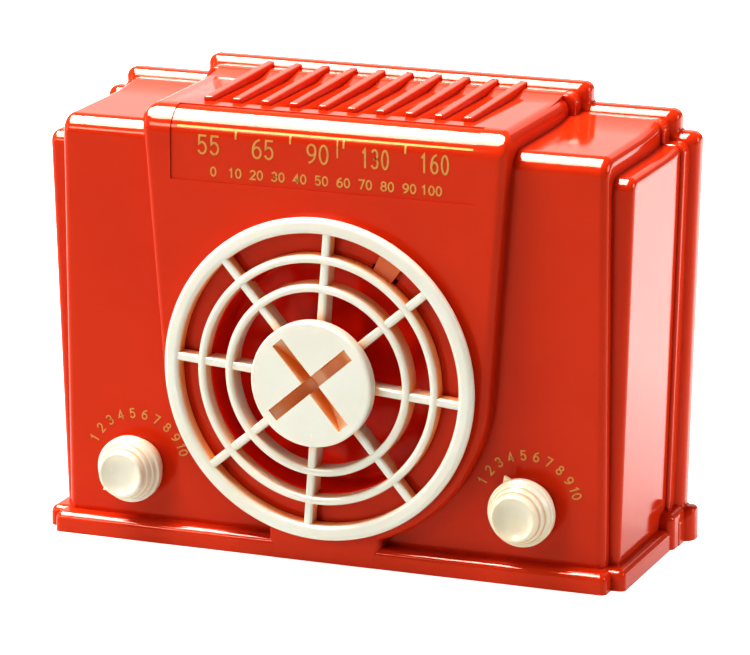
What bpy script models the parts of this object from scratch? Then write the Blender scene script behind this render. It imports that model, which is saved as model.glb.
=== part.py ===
"""A toy coin bank in the shape of a table radio, moulded in red and ivory plastic.

The cabinet is a hollow shell with a stepped outline. The ivory grille twists off by two
bayonet lugs on the cup behind it, two knobs turn in the front wall, and the back cover
holds the coin slot.
Lengths are in millimetres, with +X to the viewer's right, +Y to the back and +Z up.
"""

import math

import bmesh
import bpy
from mathutils import Matrix, Vector

MM = 0.001
DEPTH_SHIFT = -22.5

# Centre block: the tallest, foremost part of the cabinet, narrowing towards the floor.
CENTRE_TOP = 104.4
CENTRE_HALF_WIDTH = 44.8
CENTRE_NARROWING = 0.073
CENTRE_TOP_RADIUS = 6.3
CENTRE_EDGE_RADIUS = 2.0
SHIELD_RADIUS = 40.3
STEM_HALF_WIDTH = 14.0

# Shoulder block, the next step down and back.
SHOULDER_TOP = 99.6
SHOULDER_HALF_WIDTH = 66.7
SHOULDER_FRONT = 4.4
SHOULDER_TOP_RADIUS = 4.3

# Side block, the lowest step, narrowing towards the floor.
SIDE_TOP = 94.7
SIDE_HALF_WIDTH = 71.6
SIDE_NARROWING = 0.030
SIDE_FRONT = 7.9
SIDE_TOP_RADIUS = 3.0

# Base lip round the front and sides.
LIP_HEIGHT = 4.8
LIP_FRONT = 0.08
LIP_HALF_WIDTH = 68.5
SIDE_LIP_FRONT = 4.3
SIDE_LIP_HALF_WIDTH = 71.6

# Rim: the bead round the back, and the low band in front of it.
BAND_FRONT = 41.4
BAND_BACK = 46.5
BAND_STANDS = 0.9
RIM_FRONT = 45.3
RIM_BACK = 52.3
RIM_STANDS = 2.8
RIM_RADIUS = 2.9

# Inside of the cabinet.
WALL = 2.4
COVER_LEDGE = 49.4
POST_RADIUS = 3.2
POST_X = 60.5
POST_HEIGHTS = (10.0, 87.5)

# Ribs on top.
RIB_COUNT = 10
RIB_PITCH = 7.05
RIB_WIDTH = 2.2

# Dial recess.
DIAL_HALF_WIDTH = 37.2
DIAL_BOTTOM = 87.9
DIAL_DEPTH = 0.3

# Grille.
GRILLE_HEIGHT = 44.4
GRILLE_TURN = -4.2
GRILLE_FACE = -3.85
GRILLE_RADIUS = 38.0
HOLE_RADIUS = 29.0
COLLAR_RADIUS = 32.6
COLLAR_BACK = 13.0
LUG_ANGLES = (14.0, 194.0)
LUG_TRAVEL = 45.0
LUG_HALF_ANGLE = 6.0
DISC_RADIUS = 14.7
DISC_FACE = -7.4
BOSS_RADIUS = 11.8
SLOT_LENGTH = 24.6
SLOT_WIDTH = 3.0
SLOT_DEPTH = 6.0

# Cup behind the grille, which plugs the opening.
CUP_RADIUS = 28.6
CUP_WALL = 1.2
CUP_BACK = 12.6
CUP_POST_RADIUS = 5.0

# Knobs.
KNOB_X = 48.5
KNOB_HEIGHT = 17.5
KNOB_RADIUS = 7.9
STEM_RADIUS = 2.0

# Back cover.
COVER_BACK = 52.0
COIN_SLOT_LENGTH = 27.0
COIN_SLOT_WIDTH = 3.2
COIN_SLOT_HEIGHT = 78.0


def clear_scene():
    for obj in list(bpy.data.objects):
        bpy.data.objects.remove(obj, do_unlink=True)


def at(x, y, z):
    """A place given in millimetres from the middle of the front face, as a scene vector."""
    return Vector((x, y + DEPTH_SHIFT, z)) * MM


def make_material(name, colour, roughness, metallic=0.0, coat=0.0):
    material = bpy.data.materials.new(name)
    material.use_nodes = True
    shader = material.node_tree.nodes["Principled BSDF"]
    shader.inputs["Base Color"].default_value = (*colour, 1.0)
    shader.inputs["Roughness"].default_value = roughness
    shader.inputs["Metallic"].default_value = metallic
    shader.inputs["Coat Weight"].default_value = coat
    material.diffuse_color = (*colour, 1.0)
    return material


def to_object(name, bm):
    bmesh.ops.recalc_face_normals(bm, faces=bm.faces)
    mesh = bpy.data.meshes.new(name)
    bm.to_mesh(mesh)
    bm.free()
    obj = bpy.data.objects.new(name, mesh)
    bpy.context.scene.collection.objects.link(obj)
    return obj


def prism(name, front, back):
    """A solid between two rings of points that have the same length."""
    bm = bmesh.new()
    first = [bm.verts.new(at(*point)) for point in front]
    last = [bm.verts.new(at(*point)) for point in back]
    count = len(first)
    bm.faces.new(first)
    bm.faces.new(last[::-1])
    for i in range(count):
        j = (i + 1) % count
        bm.faces.new((first[i], last[i], last[j], first[j]))
    return to_object(name, bm)


def stack(name, rings):
    """A solid through a row of rings of points, closed at both ends."""
    bm = bmesh.new()
    rows = [[bm.verts.new(at(*point)) for point in ring] for ring in rings]
    count = len(rows[0])
    bm.faces.new(rows[0])
    bm.faces.new(rows[-1][::-1])
    for near, far in zip(rows, rows[1:]):
        for i in range(count):
            j = (i + 1) % count
            bm.faces.new((near[i], far[i], far[j], near[j]))
    return to_object(name, bm)


def box(name, low, high):
    x0, y0, z0 = low
    x1, y1, z1 = high
    front = [(x0, y0, z0), (x1, y0, z0), (x1, y0, z1), (x0, y0, z1)]
    back = [(x, y1, z) for x, _, z in front]
    return prism(name, front, back)


def lathe(name, profile, x, z, steps=64):
    """A solid turned about an axis along Y; the profile holds (radius, y) pairs."""
    bm = bmesh.new()
    rows = []
    for radius, y in profile:
        if radius == 0.0:
            rows.append([bm.verts.new(at(x, y, z))])
            continue
        row = []
        for i in range(steps):
            turn = 2.0 * math.pi * i / steps
            row.append(bm.verts.new(at(x + radius * math.cos(turn), y, z + radius * math.sin(turn))))
        rows.append(row)
    closed = profile[0][0] != 0.0 or profile[-1][0] != 0.0
    pairs = list(zip(rows, rows[1:]))
    if closed:
        pairs.append((rows[-1], rows[0]))
    for near, far in pairs:
        for i in range(steps):
            j = (i + 1) % steps
            corners = [near[i % len(near)], near[j % len(near)], far[j % len(far)], far[i % len(far)]]
            bm.faces.new(list(dict.fromkeys(corners)))
    return to_object(name, bm)


def rod(name, radius, y0, y1, x, z, steps=32):
    return lathe(name, [(0.0, y0), (radius, y0), (radius, y1), (0.0, y1)], x, z, steps)


def bake(obj):
    """Replaces the object's mesh by the one its modifiers make."""
    bpy.context.view_layer.update()
    graph = bpy.context.evaluated_depsgraph_get()
    mesh = bpy.data.meshes.new_from_object(obj.evaluated_get(graph))
    obj.modifiers.clear()
    obj.data = mesh
    return obj


def round_edges(obj, radius_of, segments=4):
    """Rounds each edge by the radius that radius_of(a, b) gives for its two ends in millimetres."""
    bm = bmesh.new()
    bm.from_mesh(obj.data)
    weight = bm.edges.layers.float.new("bevel_weight_edge")
    found = []
    for edge in bm.edges:
        ends = [vert.co / MM - Vector((0.0, DEPTH_SHIFT, 0.0)) for vert in edge.verts]
        found.append((edge, radius_of(*ends)))
    widest = max(radius for _, radius in found)
    for edge, radius in found:
        edge[weight] = radius / widest
    bm.to_mesh(obj.data)
    bm.free()
    modifier = obj.modifiers.new("round", "BEVEL")
    modifier.limit_method = "WEIGHT"
    modifier.width = widest * MM
    modifier.segments = segments
    modifier.use_clamp_overlap = False
    return bake(obj)


def mend(obj):
    """Merges points that a Boolean left almost together, and closes any pinhole between them."""
    bm = bmesh.new()
    bm.from_mesh(obj.data)
    bmesh.ops.remove_doubles(bm, verts=bm.verts, dist=0.00001)
    bmesh.ops.dissolve_degenerate(bm, edges=bm.edges, dist=0.00001)
    open_edges = [edge for edge in bm.edges if edge.is_boundary]
    bmesh.ops.holes_fill(bm, edges=open_edges, sides=6)
    bm.to_mesh(obj.data)
    bm.free()


def combine(target, others, operation):
    """Joins the other solids to the target, or cuts them from it, and removes them."""
    group = bpy.data.collections.new("operands")
    for other in others:
        other.hide_render = True
        other.display_type = "WIRE"
        group.objects.link(other)
    modifier = target.modifiers.new("combine", "BOOLEAN")
    modifier.operation = operation
    modifier.solver = "EXACT"
    modifier.operand_type = "COLLECTION"
    modifier.collection = group
    bake(target)
    mend(target)
    for other in others:
        bpy.data.objects.remove(other, do_unlink=True)
    bpy.data.collections.remove(group)
    return target


def finish(obj, material, origin=(0.0, 0.0, 0.0), parent=None):
    """Tidies the mesh, moves the origin, sets the shading and gives the material."""
    bm = bmesh.new()
    bm.from_mesh(obj.data)
    bmesh.ops.remove_doubles(bm, verts=bm.verts, dist=0.00002)
    bmesh.ops.dissolve_degenerate(bm, edges=bm.edges, dist=0.00002)
    bmesh.ops.triangulate(bm, faces=bm.faces)
    place = Vector(origin)
    bmesh.ops.translate(bm, verts=bm.verts, vec=-place)
    bm.to_mesh(obj.data)
    bm.free()
    obj.location = place
    obj.data.materials.clear()
    obj.data.materials.append(material)
    obj.data.shade_smooth()
    obj.data.set_sharp_from_angle(angle=math.radians(32.0))
    if parent is not None:
        obj.parent = parent
        obj.location = place - parent.location
    return obj


def arc(cx, cz, radius, start, end, steps):
    """Points of an arc from one angle to another, in degrees, counterclockwise seen from the front."""
    points = []
    for i in range(steps + 1):
        turn = math.radians(start + (end - start) * i / steps)
        points.append((cx + radius * math.cos(turn), cz + radius * math.sin(turn)))
    return points


def mirrored(half):
    """A whole outline from its right half, which runs upwards from the floor."""
    return half + [(-x, z) for x, z in reversed(half)]


def grown(outline, amount):
    """The outline with every side moved outwards by the amount."""
    count = len(outline)
    sides = []
    for i in range(count):
        ax, az = outline[i]
        bx, bz = outline[(i + 1) % count]
        length = math.hypot(bx - ax, bz - az)
        nx, nz = (bz - az) / length, (ax - bx) / length
        sides.append((nx, nz, nx * ax + nz * az + amount))
    corners = []
    for i in range(count):
        nx, nz, d = sides[i - 1]
        mx, mz, e = sides[i]
        cross = nx * mz - nz * mx
        corners.append(((d * mz - e * nz) / cross, (e * nx - d * mx) / cross))
    return corners


def softened(outline, outer, inner, steps=3):
    """The outline with its outer corners and its inner corners rounded by the two radii."""
    points = []
    count = len(outline)
    for i in range(count):
        corner = Vector(outline[i])
        back = (Vector(outline[i - 1]) - corner).normalized()
        ahead = (Vector(outline[(i + 1) % count]) - corner).normalized()
        turn = back.x * ahead.y - back.y * ahead.x
        room = 0.46 * min((Vector(outline[i - 1]) - corner).length, (Vector(outline[(i + 1) % count]) - corner).length)
        radius = max(0.35, min(outer if turn < 0.0 else inner, room))
        half = math.acos(max(-1.0, min(1.0, back.dot(ahead)))) / 2.0
        middle = corner + (back + ahead).normalized() * radius / math.sin(half)
        start = corner + back * radius / math.tan(half) - middle
        end = corner + ahead * radius / math.tan(half) - middle
        angle = start.angle_signed(end)
        for step in range(steps + 1):
            spoke = start.copy()
            spoke.rotate(Matrix.Rotation(-angle * step / steps, 2))
            points.append(tuple(middle + spoke))
    return points


def step_outline():
    """The stepped outline of the cabinet at the back, where all its blocks end."""
    return mirrored(
        [
            (SIDE_LIP_HALF_WIDTH, -9.0),
            (SIDE_LIP_HALF_WIDTH, LIP_HEIGHT + 0.4),
            (SIDE_HALF_WIDTH - SIDE_NARROWING * 89.0, LIP_HEIGHT + 0.4),
            (SIDE_HALF_WIDTH, SIDE_TOP),
            (SHOULDER_HALF_WIDTH, SIDE_TOP),
            (SHOULDER_HALF_WIDTH, SHOULDER_TOP),
            (CENTRE_HALF_WIDTH + 0.4, SHOULDER_TOP),
            (CENTRE_HALF_WIDTH + 0.4, CENTRE_TOP),
        ]
    )


def inside_outline():
    """The stepped outline of the inside."""
    low = SIDE_HALF_WIDTH - SIDE_NARROWING * 92.0
    return mirrored(
        [
            (low - WALL - 0.3, WALL),
            (SIDE_HALF_WIDTH - WALL - 0.3, SIDE_TOP - WALL),
            (SHOULDER_HALF_WIDTH - WALL, SIDE_TOP - WALL),
            (SHOULDER_HALF_WIDTH - WALL, SHOULDER_TOP - WALL),
            (CENTRE_HALF_WIDTH - WALL, SHOULDER_TOP - WALL),
            (CENTRE_HALF_WIDTH - WALL, CENTRE_TOP - WALL),
        ]
    )


def ring_at(outline, y):
    return [(x, y, z) for x, z in outline]


def bead(name, stands, front, back, radius, steps=4):
    """A rounded band that follows the stepped outline."""
    rings = []
    for end, sign in ((front, 1.0), (back, -1.0)):
        part = []
        for step in range(steps + 1):
            turn = math.pi / 2.0 * step / steps
            inset = radius * (1.0 - math.sin(turn))
            y = end + sign * radius * (1.0 - math.cos(turn))
            outline = softened(grown(step_outline(), stands - inset), 3.0 - inset, 0.5 + inset)
            part.append(ring_at(outline, y))
        rings += part if sign > 0.0 else part[::-1]
    return stack(name, rings)


def centre_half_width(z):
    return CENTRE_HALF_WIDTH - CENTRE_NARROWING * (CENTRE_TOP - z)


def shield_outline(inset=0.0, stem=True):
    """Outline of the centre block: keystone sides, then a round end about the grille."""
    radius = SHIELD_RADIUS - inset
    top = CENTRE_TOP - inset
    join = GRILLE_HEIGHT - 1.5
    if stem:
        width = STEM_HALF_WIDTH - inset
        low = -math.degrees(math.acos(width / radius))
        half = [(width, -5.0)]
    else:
        low = -87.5
        half = []
    start = math.degrees(math.asin((join - GRILLE_HEIGHT) / radius))
    half += arc(0.0, GRILLE_HEIGHT, radius, low, start, 16)
    half += [(centre_half_width(60.0) - inset, 60.0), (centre_half_width(top) - inset, top)]
    return mirrored(half)


def centre_block():
    outline = shield_outline()
    block = prism("centre", ring_at(outline, 0.0), ring_at(outline, 48.0))

    def radius_of(a, b):
        front = a.y < 1.0 and b.y < 1.0
        if front and a.z > CENTRE_TOP - 1.0 and b.z > CENTRE_TOP - 1.0:
            return CENTRE_TOP_RADIUS
        if front and (a.z > 0.0 or b.z > 0.0):
            return CENTRE_EDGE_RADIUS
        if a.z > CENTRE_TOP - 1.0 and b.z > CENTRE_TOP - 1.0 and abs(a.x - b.x) < 1.0:
            return 3.0
        return 0.0

    return round_edges(block, radius_of)


def stepped_block(name, front, top, top_radius, half_width, narrowing, rise_from, rise, side_radius):
    """A block drawn from the side: rounded at the top front, sweeping up to the rim at the back."""
    section = [(front, -4.0)]
    for y, z in arc(front + top_radius, top - top_radius, top_radius, 180.0, 90.0, 6):
        section.append((y, z))
    for step in range(7):
        way = step / 6.0
        section.append((rise_from + (43.0 - rise_from) * way, top + rise * way * way))
    back = 47.0 + 0.01 * top
    section += [(back, top + rise), (back, -4.0)]
    right = [(half_width - narrowing * (top - z), y, z) for y, z in section]
    left = [(-x, y, z) for x, y, z in right]
    block = prism(name, left, right)

    def radius_of(a, b):
        side = abs(a.x) > 10.0 and a.x * b.x > 0.0
        hidden = (a.y > 47.0 and b.y > 47.0) or (a.z < 0.0 and b.z < 0.0)
        return side_radius if side and not hidden else 0.0

    return round_edges(block, radius_of)


def lip(name, half_width, front, height):
    block = box(name, (-half_width, front, -3.0), (half_width, 46.5 + 0.1 * front, height))

    def radius_of(a, b):
        if a.z > 1.0 and b.z > 1.0 and min(a.y, b.y) < 46.0:
            return 1.8
        if a.y < front + 0.1 and b.y < front + 0.1 and abs(a.z - b.z) > 1.0:
            return 1.4
        return 0.0

    return round_edges(block, radius_of)


def foot_bump(side):
    inner, outer = sorted((side * 64.0, side * (SIDE_LIP_HALF_WIDTH + 0.7)))
    block = box("bump", (inner, 37.4, -2.0), (outer, 46.0, 8.5))

    def radius_of(a, b):
        if abs(a.x) < 65.0 or abs(b.x) < 65.0:
            return 1.9 if a.z > 8.0 and b.z > 8.0 and a.y < 38.0 and b.y < 38.0 else 0.0
        if a.z > 8.0 and b.z > 8.0:
            return 1.9
        return 1.9 if a.y < 38.0 and b.y < 38.0 else 0.0

    return round_edges(block, radius_of)


def top_sweep():
    """The hollow curve by which the centre block's top runs up to the rim."""
    section = [(31.0, 100.0)]
    for step in range(7):
        way = step / 6.0
        section.append((31.0 + 12.0 * way, CENTRE_TOP - 0.25 + 1.3 * way * way))
    section += [(47.2, CENTRE_TOP + 1.05), (47.2, 100.0)]
    half = CENTRE_HALF_WIDTH - 1.7
    return prism("sweep", [(-half, y, z) for y, z in section], [(half, y, z) for y, z in section])


def ribs():
    """Ten ribs that rise from the centre block's top towards the rim."""
    made = []
    for i in range(RIB_COUNT):
        x = (i - (RIB_COUNT - 1) / 2.0) * RIB_PITCH
        section = [(9.6, 103.0), (9.6, CENTRE_TOP + 1.2), (47.0, CENTRE_TOP + 2.2), (47.0, 103.0)]
        left = [(x - RIB_WIDTH / 2.0, y, z) for y, z in section]
        right = [(x + RIB_WIDTH / 2.0, y, z) for y, z in section]
        rib = prism(f"rib_{i}", left, right)

        def radius_of(a, b):
            top = a.z > CENTRE_TOP and b.z > CENTRE_TOP
            return 0.35 if top and (a.y < 10.0 or b.y < 10.0) else 0.0

        made.append(round_edges(rib, radius_of, 2))
    return made


def dial_cutter():
    """A thin slab that follows the centre block's front and its rounded top edge."""
    low_z = CENTRE_TOP - CENTRE_TOP_RADIUS
    inner = [(DIAL_DEPTH, DIAL_BOTTOM)]
    inner += arc(CENTRE_TOP_RADIUS, low_z, CENTRE_TOP_RADIUS - DIAL_DEPTH, 180.0, 92.0, 10)
    outer = [(-2.0, DIAL_BOTTOM)]
    outer += arc(CENTRE_TOP_RADIUS, low_z, CENTRE_TOP_RADIUS + 2.0, 180.0, 92.0, 10)
    section = inner + outer[::-1]
    left = [(-DIAL_HALF_WIDTH, y, z) for y, z in section]
    right = [(DIAL_HALF_WIDTH, y, z) for y, z in section]
    return prism("dial", left, right)


def sector(name, radius0, radius1, y0, y1, start, end, steps=8):
    """A curved bar about the grille's axis."""
    outline = arc(0.0, GRILLE_HEIGHT, radius1, start, end, steps)
    outline += arc(0.0, GRILLE_HEIGHT, radius0, end, start, steps)
    return prism(name, ring_at(outline, y0), ring_at(outline, y1))


def cabinet_hollows():
    """Everything that's cut from the cabinet."""
    hollow = inside_outline()
    cutters = [
        prism("inside_side", ring_at(hollow, SIDE_FRONT + WALL + 0.2), ring_at(hollow, 60.0)),
        box(
            "inside_shoulder",
            (-SHOULDER_HALF_WIDTH + WALL + 0.3, SHOULDER_FRONT + WALL, WALL + 0.3),
            (SHOULDER_HALF_WIDTH - WALL - 0.3, 30.0, SHOULDER_TOP - WALL - 0.3),
        ),
    ]
    shield = shield_outline(WALL + 0.4, stem=False)
    cutters.append(prism("inside_centre", ring_at(shield, WALL), ring_at(shield, 31.0)))
    recess = softened(grown(step_outline(), -0.6), 2.4, 1.1)
    recess = [(x, max(z, 1.6)) for x, z in recess]
    cutters.append(prism("cover_seat", ring_at(recess, COVER_LEDGE), ring_at(recess, 60.0)))
    return cutters


def lug_slots():
    """The path of each lug: in from the front at the far end, then round behind the panel."""
    cutters = []
    for angle in LUG_ANGLES:
        start = angle - LUG_HALF_ANGLE - 1.0
        end = angle + LUG_TRAVEL + LUG_HALF_ANGLE + 1.0
        entry = end - 2.0 * LUG_HALF_ANGLE - 2.0
        cutters.append(sector("run", 28.5, 31.0, WALL, WALL + 2.3, start, end, 14))
        cutters.append(sector("entry", 28.3, 30.7, -1.0, WALL + 1.0, entry + 0.6, end - 0.6, 5))
    return cutters


def cabinet(material):
    shell = centre_block()
    solids = [
        stepped_block(
            "shoulder", SHOULDER_FRONT, SHOULDER_TOP, SHOULDER_TOP_RADIUS, SHOULDER_HALF_WIDTH, 0.0, 30.0, 1.1, 2.0
        ),
        stepped_block("side", SIDE_FRONT, SIDE_TOP, SIDE_TOP_RADIUS, SIDE_HALF_WIDTH, SIDE_NARROWING, 32.0, 0.8, 1.8),
        lip("lip", LIP_HALF_WIDTH, LIP_FRONT, LIP_HEIGHT - 0.05),
        lip("side_lip", SIDE_LIP_HALF_WIDTH, SIDE_LIP_FRONT, LIP_HEIGHT + 0.1),
        foot_bump(-1.0),
        foot_bump(1.0),
        top_sweep(),
        bead("band", BAND_STANDS, BAND_FRONT, BAND_BACK, 0.7, 3),
        bead("rim", RIM_STANDS, RIM_FRONT, RIM_BACK, RIM_RADIUS),
    ]
    combine(shell, solids + ribs(), "UNION")
    floor = box("floor", (-90.0, -20.0, -30.0), (90.0, 70.0, 0.0))
    combine(shell, [floor] + cabinet_hollows(), "DIFFERENCE")
    collar = lathe(
        "collar",
        [
            (HOLE_RADIUS - 1.0, WALL - 0.5),
            (COLLAR_RADIUS, WALL - 0.5),
            (COLLAR_RADIUS, COLLAR_BACK),
            (HOLE_RADIUS - 1.0, COLLAR_BACK),
        ],
        0.0,
        GRILLE_HEIGHT,
        56,
    )
    posts = [
        rod("post", POST_RADIUS, SHOULDER_FRONT + 1.0, COVER_LEDGE, side * POST_X, z, 16)
        for side in (-1.0, 1.0)
        for z in POST_HEIGHTS
    ]
    combine(shell, [collar] + posts, "UNION")
    holes = [rod("hole", HOLE_RADIUS, -5.0, 20.0, 0.0, GRILLE_HEIGHT, 56), dial_cutter()]
    for side in (-1.0, 1.0):
        holes.append(rod("stem_hole", STEM_RADIUS + 0.4, 0.0, 10.0, side * KNOB_X, KNOB_HEIGHT, 24))
        for z in POST_HEIGHTS:
            holes.append(rod("pilot", 1.35, COVER_LEDGE - 9.0, 60.0, side * POST_X, z, 16))
    combine(shell, holes + lug_slots(), "DIFFERENCE")
    shell.name = "cabinet_shell"
    return finish(shell, material)


def grille_ring(name, inner, outer, back, undercut=0.0):
    """One ring of the grille, with a rounded front and an outer side that draws in towards the back."""
    middle = (inner + outer) / 2.0
    half = (outer - inner) / 2.0
    soft = min(half, 1.2)
    profile = []
    for radius, z in arc(inner + soft, 0.0, soft, 180.0, 90.0, 3):
        profile.append((radius, GRILLE_FACE + soft - z))
    for radius, z in arc(outer - soft, 0.0, soft, 90.0, 0.0, 3):
        if radius > middle + 0.01:
            profile.append((radius, GRILLE_FACE + soft - z))
    if undercut > 0.0:
        profile.append((outer, GRILLE_FACE + 1.6))
    profile += [(outer - undercut, back), (inner, back)]
    return lathe(name, profile, 0.0, GRILLE_HEIGHT, 64)


def grille_spoke(angle, radius0, radius1, y0, y1):
    outline = [(radius0, -1.05), (radius1, -1.05), (radius1, 1.05), (radius0, 1.05)]
    turn = Matrix.Rotation(math.radians(angle), 2)
    front = []
    for point in outline:
        x, z = turn @ Vector(point)
        front.append((x, y0, z + GRILLE_HEIGHT))
    spoke = prism("spoke", front, [(x, y1, z) for x, _, z in front])

    def radius_of(a, b):
        along = Vector((a.x - b.x, a.z - b.z)).length > 4.0
        return 0.7 if along and a.y < y0 + 0.1 and b.y < y0 + 0.1 else 0.0

    return round_edges(spoke, radius_of, 3)


def disc_slot(angle, depth):
    """A slot whose floor follows a coin's edge."""
    reach = 17.0
    centre = DISC_FACE + depth - reach
    bend = math.degrees(math.asin(SLOT_LENGTH / 2.0 / reach))
    section = [(SLOT_LENGTH / 2.0, DISC_FACE - 2.0)]
    for way, y in arc(0.0, centre, reach, 90.0 - bend, 90.0 + bend, 11):
        section.append((way, y))
    section.append((-SLOT_LENGTH / 2.0, DISC_FACE - 2.0))
    turn = Matrix.Rotation(math.radians(angle), 2)
    sides = []
    for offset in (-SLOT_WIDTH / 2.0, SLOT_WIDTH / 2.0):
        side = []
        for way, y in section:
            x, z = turn @ Vector((way, offset))
            side.append((x, y, z + GRILLE_HEIGHT))
        sides.append(side)
    return prism("slot", sides[0], sides[1])


def grille(material):
    obj = grille_ring("outer_ring", 34.3, GRILLE_RADIUS, -0.3, 1.7)
    solids = [
        grille_ring("middle_ring", 27.5, 29.5, -0.3),
        grille_ring("inner_ring", 20.7, 22.7, 1.0),
    ]
    face = [(0.0, DISC_FACE)]
    for radius, z in arc(DISC_RADIUS - 0.6, 0.0, 0.6, 90.0, 0.0, 3):
        face.append((radius, DISC_FACE + 0.6 - z))
    face += [(DISC_RADIUS, -4.2), (DISC_RADIUS - 0.4, -3.7), (BOSS_RADIUS, -3.4), (BOSS_RADIUS, 1.5), (0.0, 1.5)]
    solids.append(lathe("disc", face, 0.0, GRILLE_HEIGHT, 56))
    for i in range(8):
        angle = GRILLE_TURN + 45.0 * i
        solids.append(grille_spoke(angle, 10.0, 35.6, -3.5, -0.4))
        solids.append(grille_spoke(angle, 10.1, 26.9, -1.2, 0.8))
    solids.append(sector("index_tab", 29.0, 35.0, -1.3, -0.35, 53.5, 64.5, 4))
    combine(obj, solids, "UNION")
    slots = [disc_slot(GRILLE_TURN + 45.0, SLOT_DEPTH), disc_slot(GRILLE_TURN - 45.0, SLOT_DEPTH + 0.15)]
    combine(obj, slots, "DIFFERENCE")
    obj.name = "speaker_grille"
    pivot = at(0.0, 0.0, GRILLE_HEIGHT)
    return finish(obj, material, pivot)


def plug_cup(material):
    """The cup that closes the opening behind the grille, with the two bayonet lugs on its side."""
    floor = CUP_BACK - CUP_WALL
    profile = [
        (0.0, CUP_BACK),
        (CUP_RADIUS - 0.8, CUP_BACK),
        (CUP_RADIUS, CUP_BACK - 0.8),
        (CUP_RADIUS, 0.0),
        (CUP_RADIUS - CUP_WALL, 0.0),
        (CUP_RADIUS - CUP_WALL, floor - 1.0),
        (CUP_RADIUS - CUP_WALL - 1.0, floor),
        (CUP_POST_RADIUS, floor),
        (CUP_POST_RADIUS, 1.8),
        (0.0, 1.8),
    ]
    obj = lathe("plug_cup", profile, 0.0, GRILLE_HEIGHT, 56)
    lugs = [
        sector("lug", 28.2, 30.6, WALL + 0.35, 4.2, angle - LUG_HALF_ANGLE, angle + LUG_HALF_ANGLE, 4)
        for angle in LUG_ANGLES
    ]
    combine(obj, lugs, "UNION")
    return finish(obj, material, at(0.0, 0.0, GRILLE_HEIGHT))


def knob(name, side, turn, material):
    """A stepped knob with a small pointer, a dished end and a stem through the wall."""
    x = side * KNOB_X
    wall = SHOULDER_FRONT
    profile = [
        (0.0, wall - 9.6),
        (3.3, wall - 9.8),
        (4.4, wall - 10.35),
        (4.9, wall - 10.5),
        (5.5, wall - 10.1),
        (5.7, wall - 9.0),
        (5.5, wall - 8.8),
        (6.3, wall - 8.6),
        (6.5, wall - 7.6),
        (6.3, wall - 7.4),
        (7.0, wall - 7.2),
        (7.3, wall - 6.0),
        (7.7, wall - 5.8),
        (KNOB_RADIUS, wall - 4.9),
        (KNOB_RADIUS, wall - 3.8),
        (6.5, wall - 2.6),
        (6.4, wall - 0.3),
        (STEM_RADIUS, wall - 0.3),
        (STEM_RADIUS, wall + 6.0),
        (0.0, wall + 6.0),
    ]
    obj = lathe(name, profile, x, KNOB_HEIGHT, 32)
    pointer = [(KNOB_RADIUS - 0.8, -1.6), (KNOB_RADIUS - 0.8, 1.6), (KNOB_RADIUS + 1.3, 0.0)]
    matrix = Matrix.Rotation(math.radians(turn), 2)
    front = []
    for point in pointer:
        px, pz = matrix @ Vector(point)
        front.append((x + px, wall - 4.65, KNOB_HEIGHT + pz))
    tip = prism("pointer", front, [(px, wall - 3.7, pz) for px, _, pz in front])
    combine(obj, [tip], "UNION")
    obj.name = name
    return finish(obj, material, at(x, wall, KNOB_HEIGHT))


def retainer(name, side, material):
    """A spring washer pushed on to the knob's stem inside the cabinet."""
    start = SHOULDER_FRONT + WALL + 0.4
    profile = [
        (STEM_RADIUS + 0.3, start + 0.5),
        (3.2, start + 0.2),
        (4.6, start),
        (4.6, start + 0.5),
        (3.3, start + 0.7),
        (STEM_RADIUS + 0.3, start + 1.0),
    ]
    obj = lathe(name, profile, side * KNOB_X, KNOB_HEIGHT, 24)
    return finish(obj, material, at(side * KNOB_X, SHOULDER_FRONT, KNOB_HEIGHT))


def back_cover(material):
    outline = softened(grown(step_outline(), -0.9), 2.1, 1.4)
    outline = [(x, max(z, 1.9)) for x, z in outline]
    cover = prism("back_cover", ring_at(outline, COVER_LEDGE + 0.3), ring_at(outline, COVER_BACK))
    half = COIN_SLOT_LENGTH / 2.0
    low = COIN_SLOT_HEIGHT - COIN_SLOT_WIDTH / 2.0
    high = COIN_SLOT_HEIGHT + COIN_SLOT_WIDTH / 2.0
    cutters = [box("coin_slot", (-half, 40.0, low), (half, 60.0, high))]
    cutters.append(box("slot_sink", (-half - 3.0, COVER_BACK - 0.6, low - 3.0), (half + 3.0, 60.0, high + 3.0)))
    for side in (-1.0, 1.0):
        for z in POST_HEIGHTS:
            cutters.append(rod("clearance", 1.6, 40.0, 60.0, side * POST_X, z, 16))
            cutters.append(rod("counterbore", 2.9, COVER_BACK - 1.2, 60.0, side * POST_X, z, 24))
    combine(cover, cutters, "DIFFERENCE")
    return finish(cover, material)


def screw(name, side, z, material):
    """A round-headed screw with a straight slot."""
    x = side * POST_X
    seat = COVER_BACK - 1.1
    profile = [
        (0.0, seat - 8.4),
        (0.5, seat - 8.2),
        (1.1, seat - 6.6),
        (1.1, seat),
        (2.5, seat),
        (2.5, seat + 0.4),
        (2.1, seat + 0.85),
        (1.2, seat + 1.05),
        (0.0, seat + 1.1),
    ]
    obj = lathe(name, profile, x, z, 18)
    combine(obj, [box("drive", (x - 3.0, seat + 0.5, z - 0.3), (x + 3.0, seat + 2.0, z + 0.3))], "DIFFERENCE")
    return finish(obj, material, at(x, seat, z))


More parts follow.
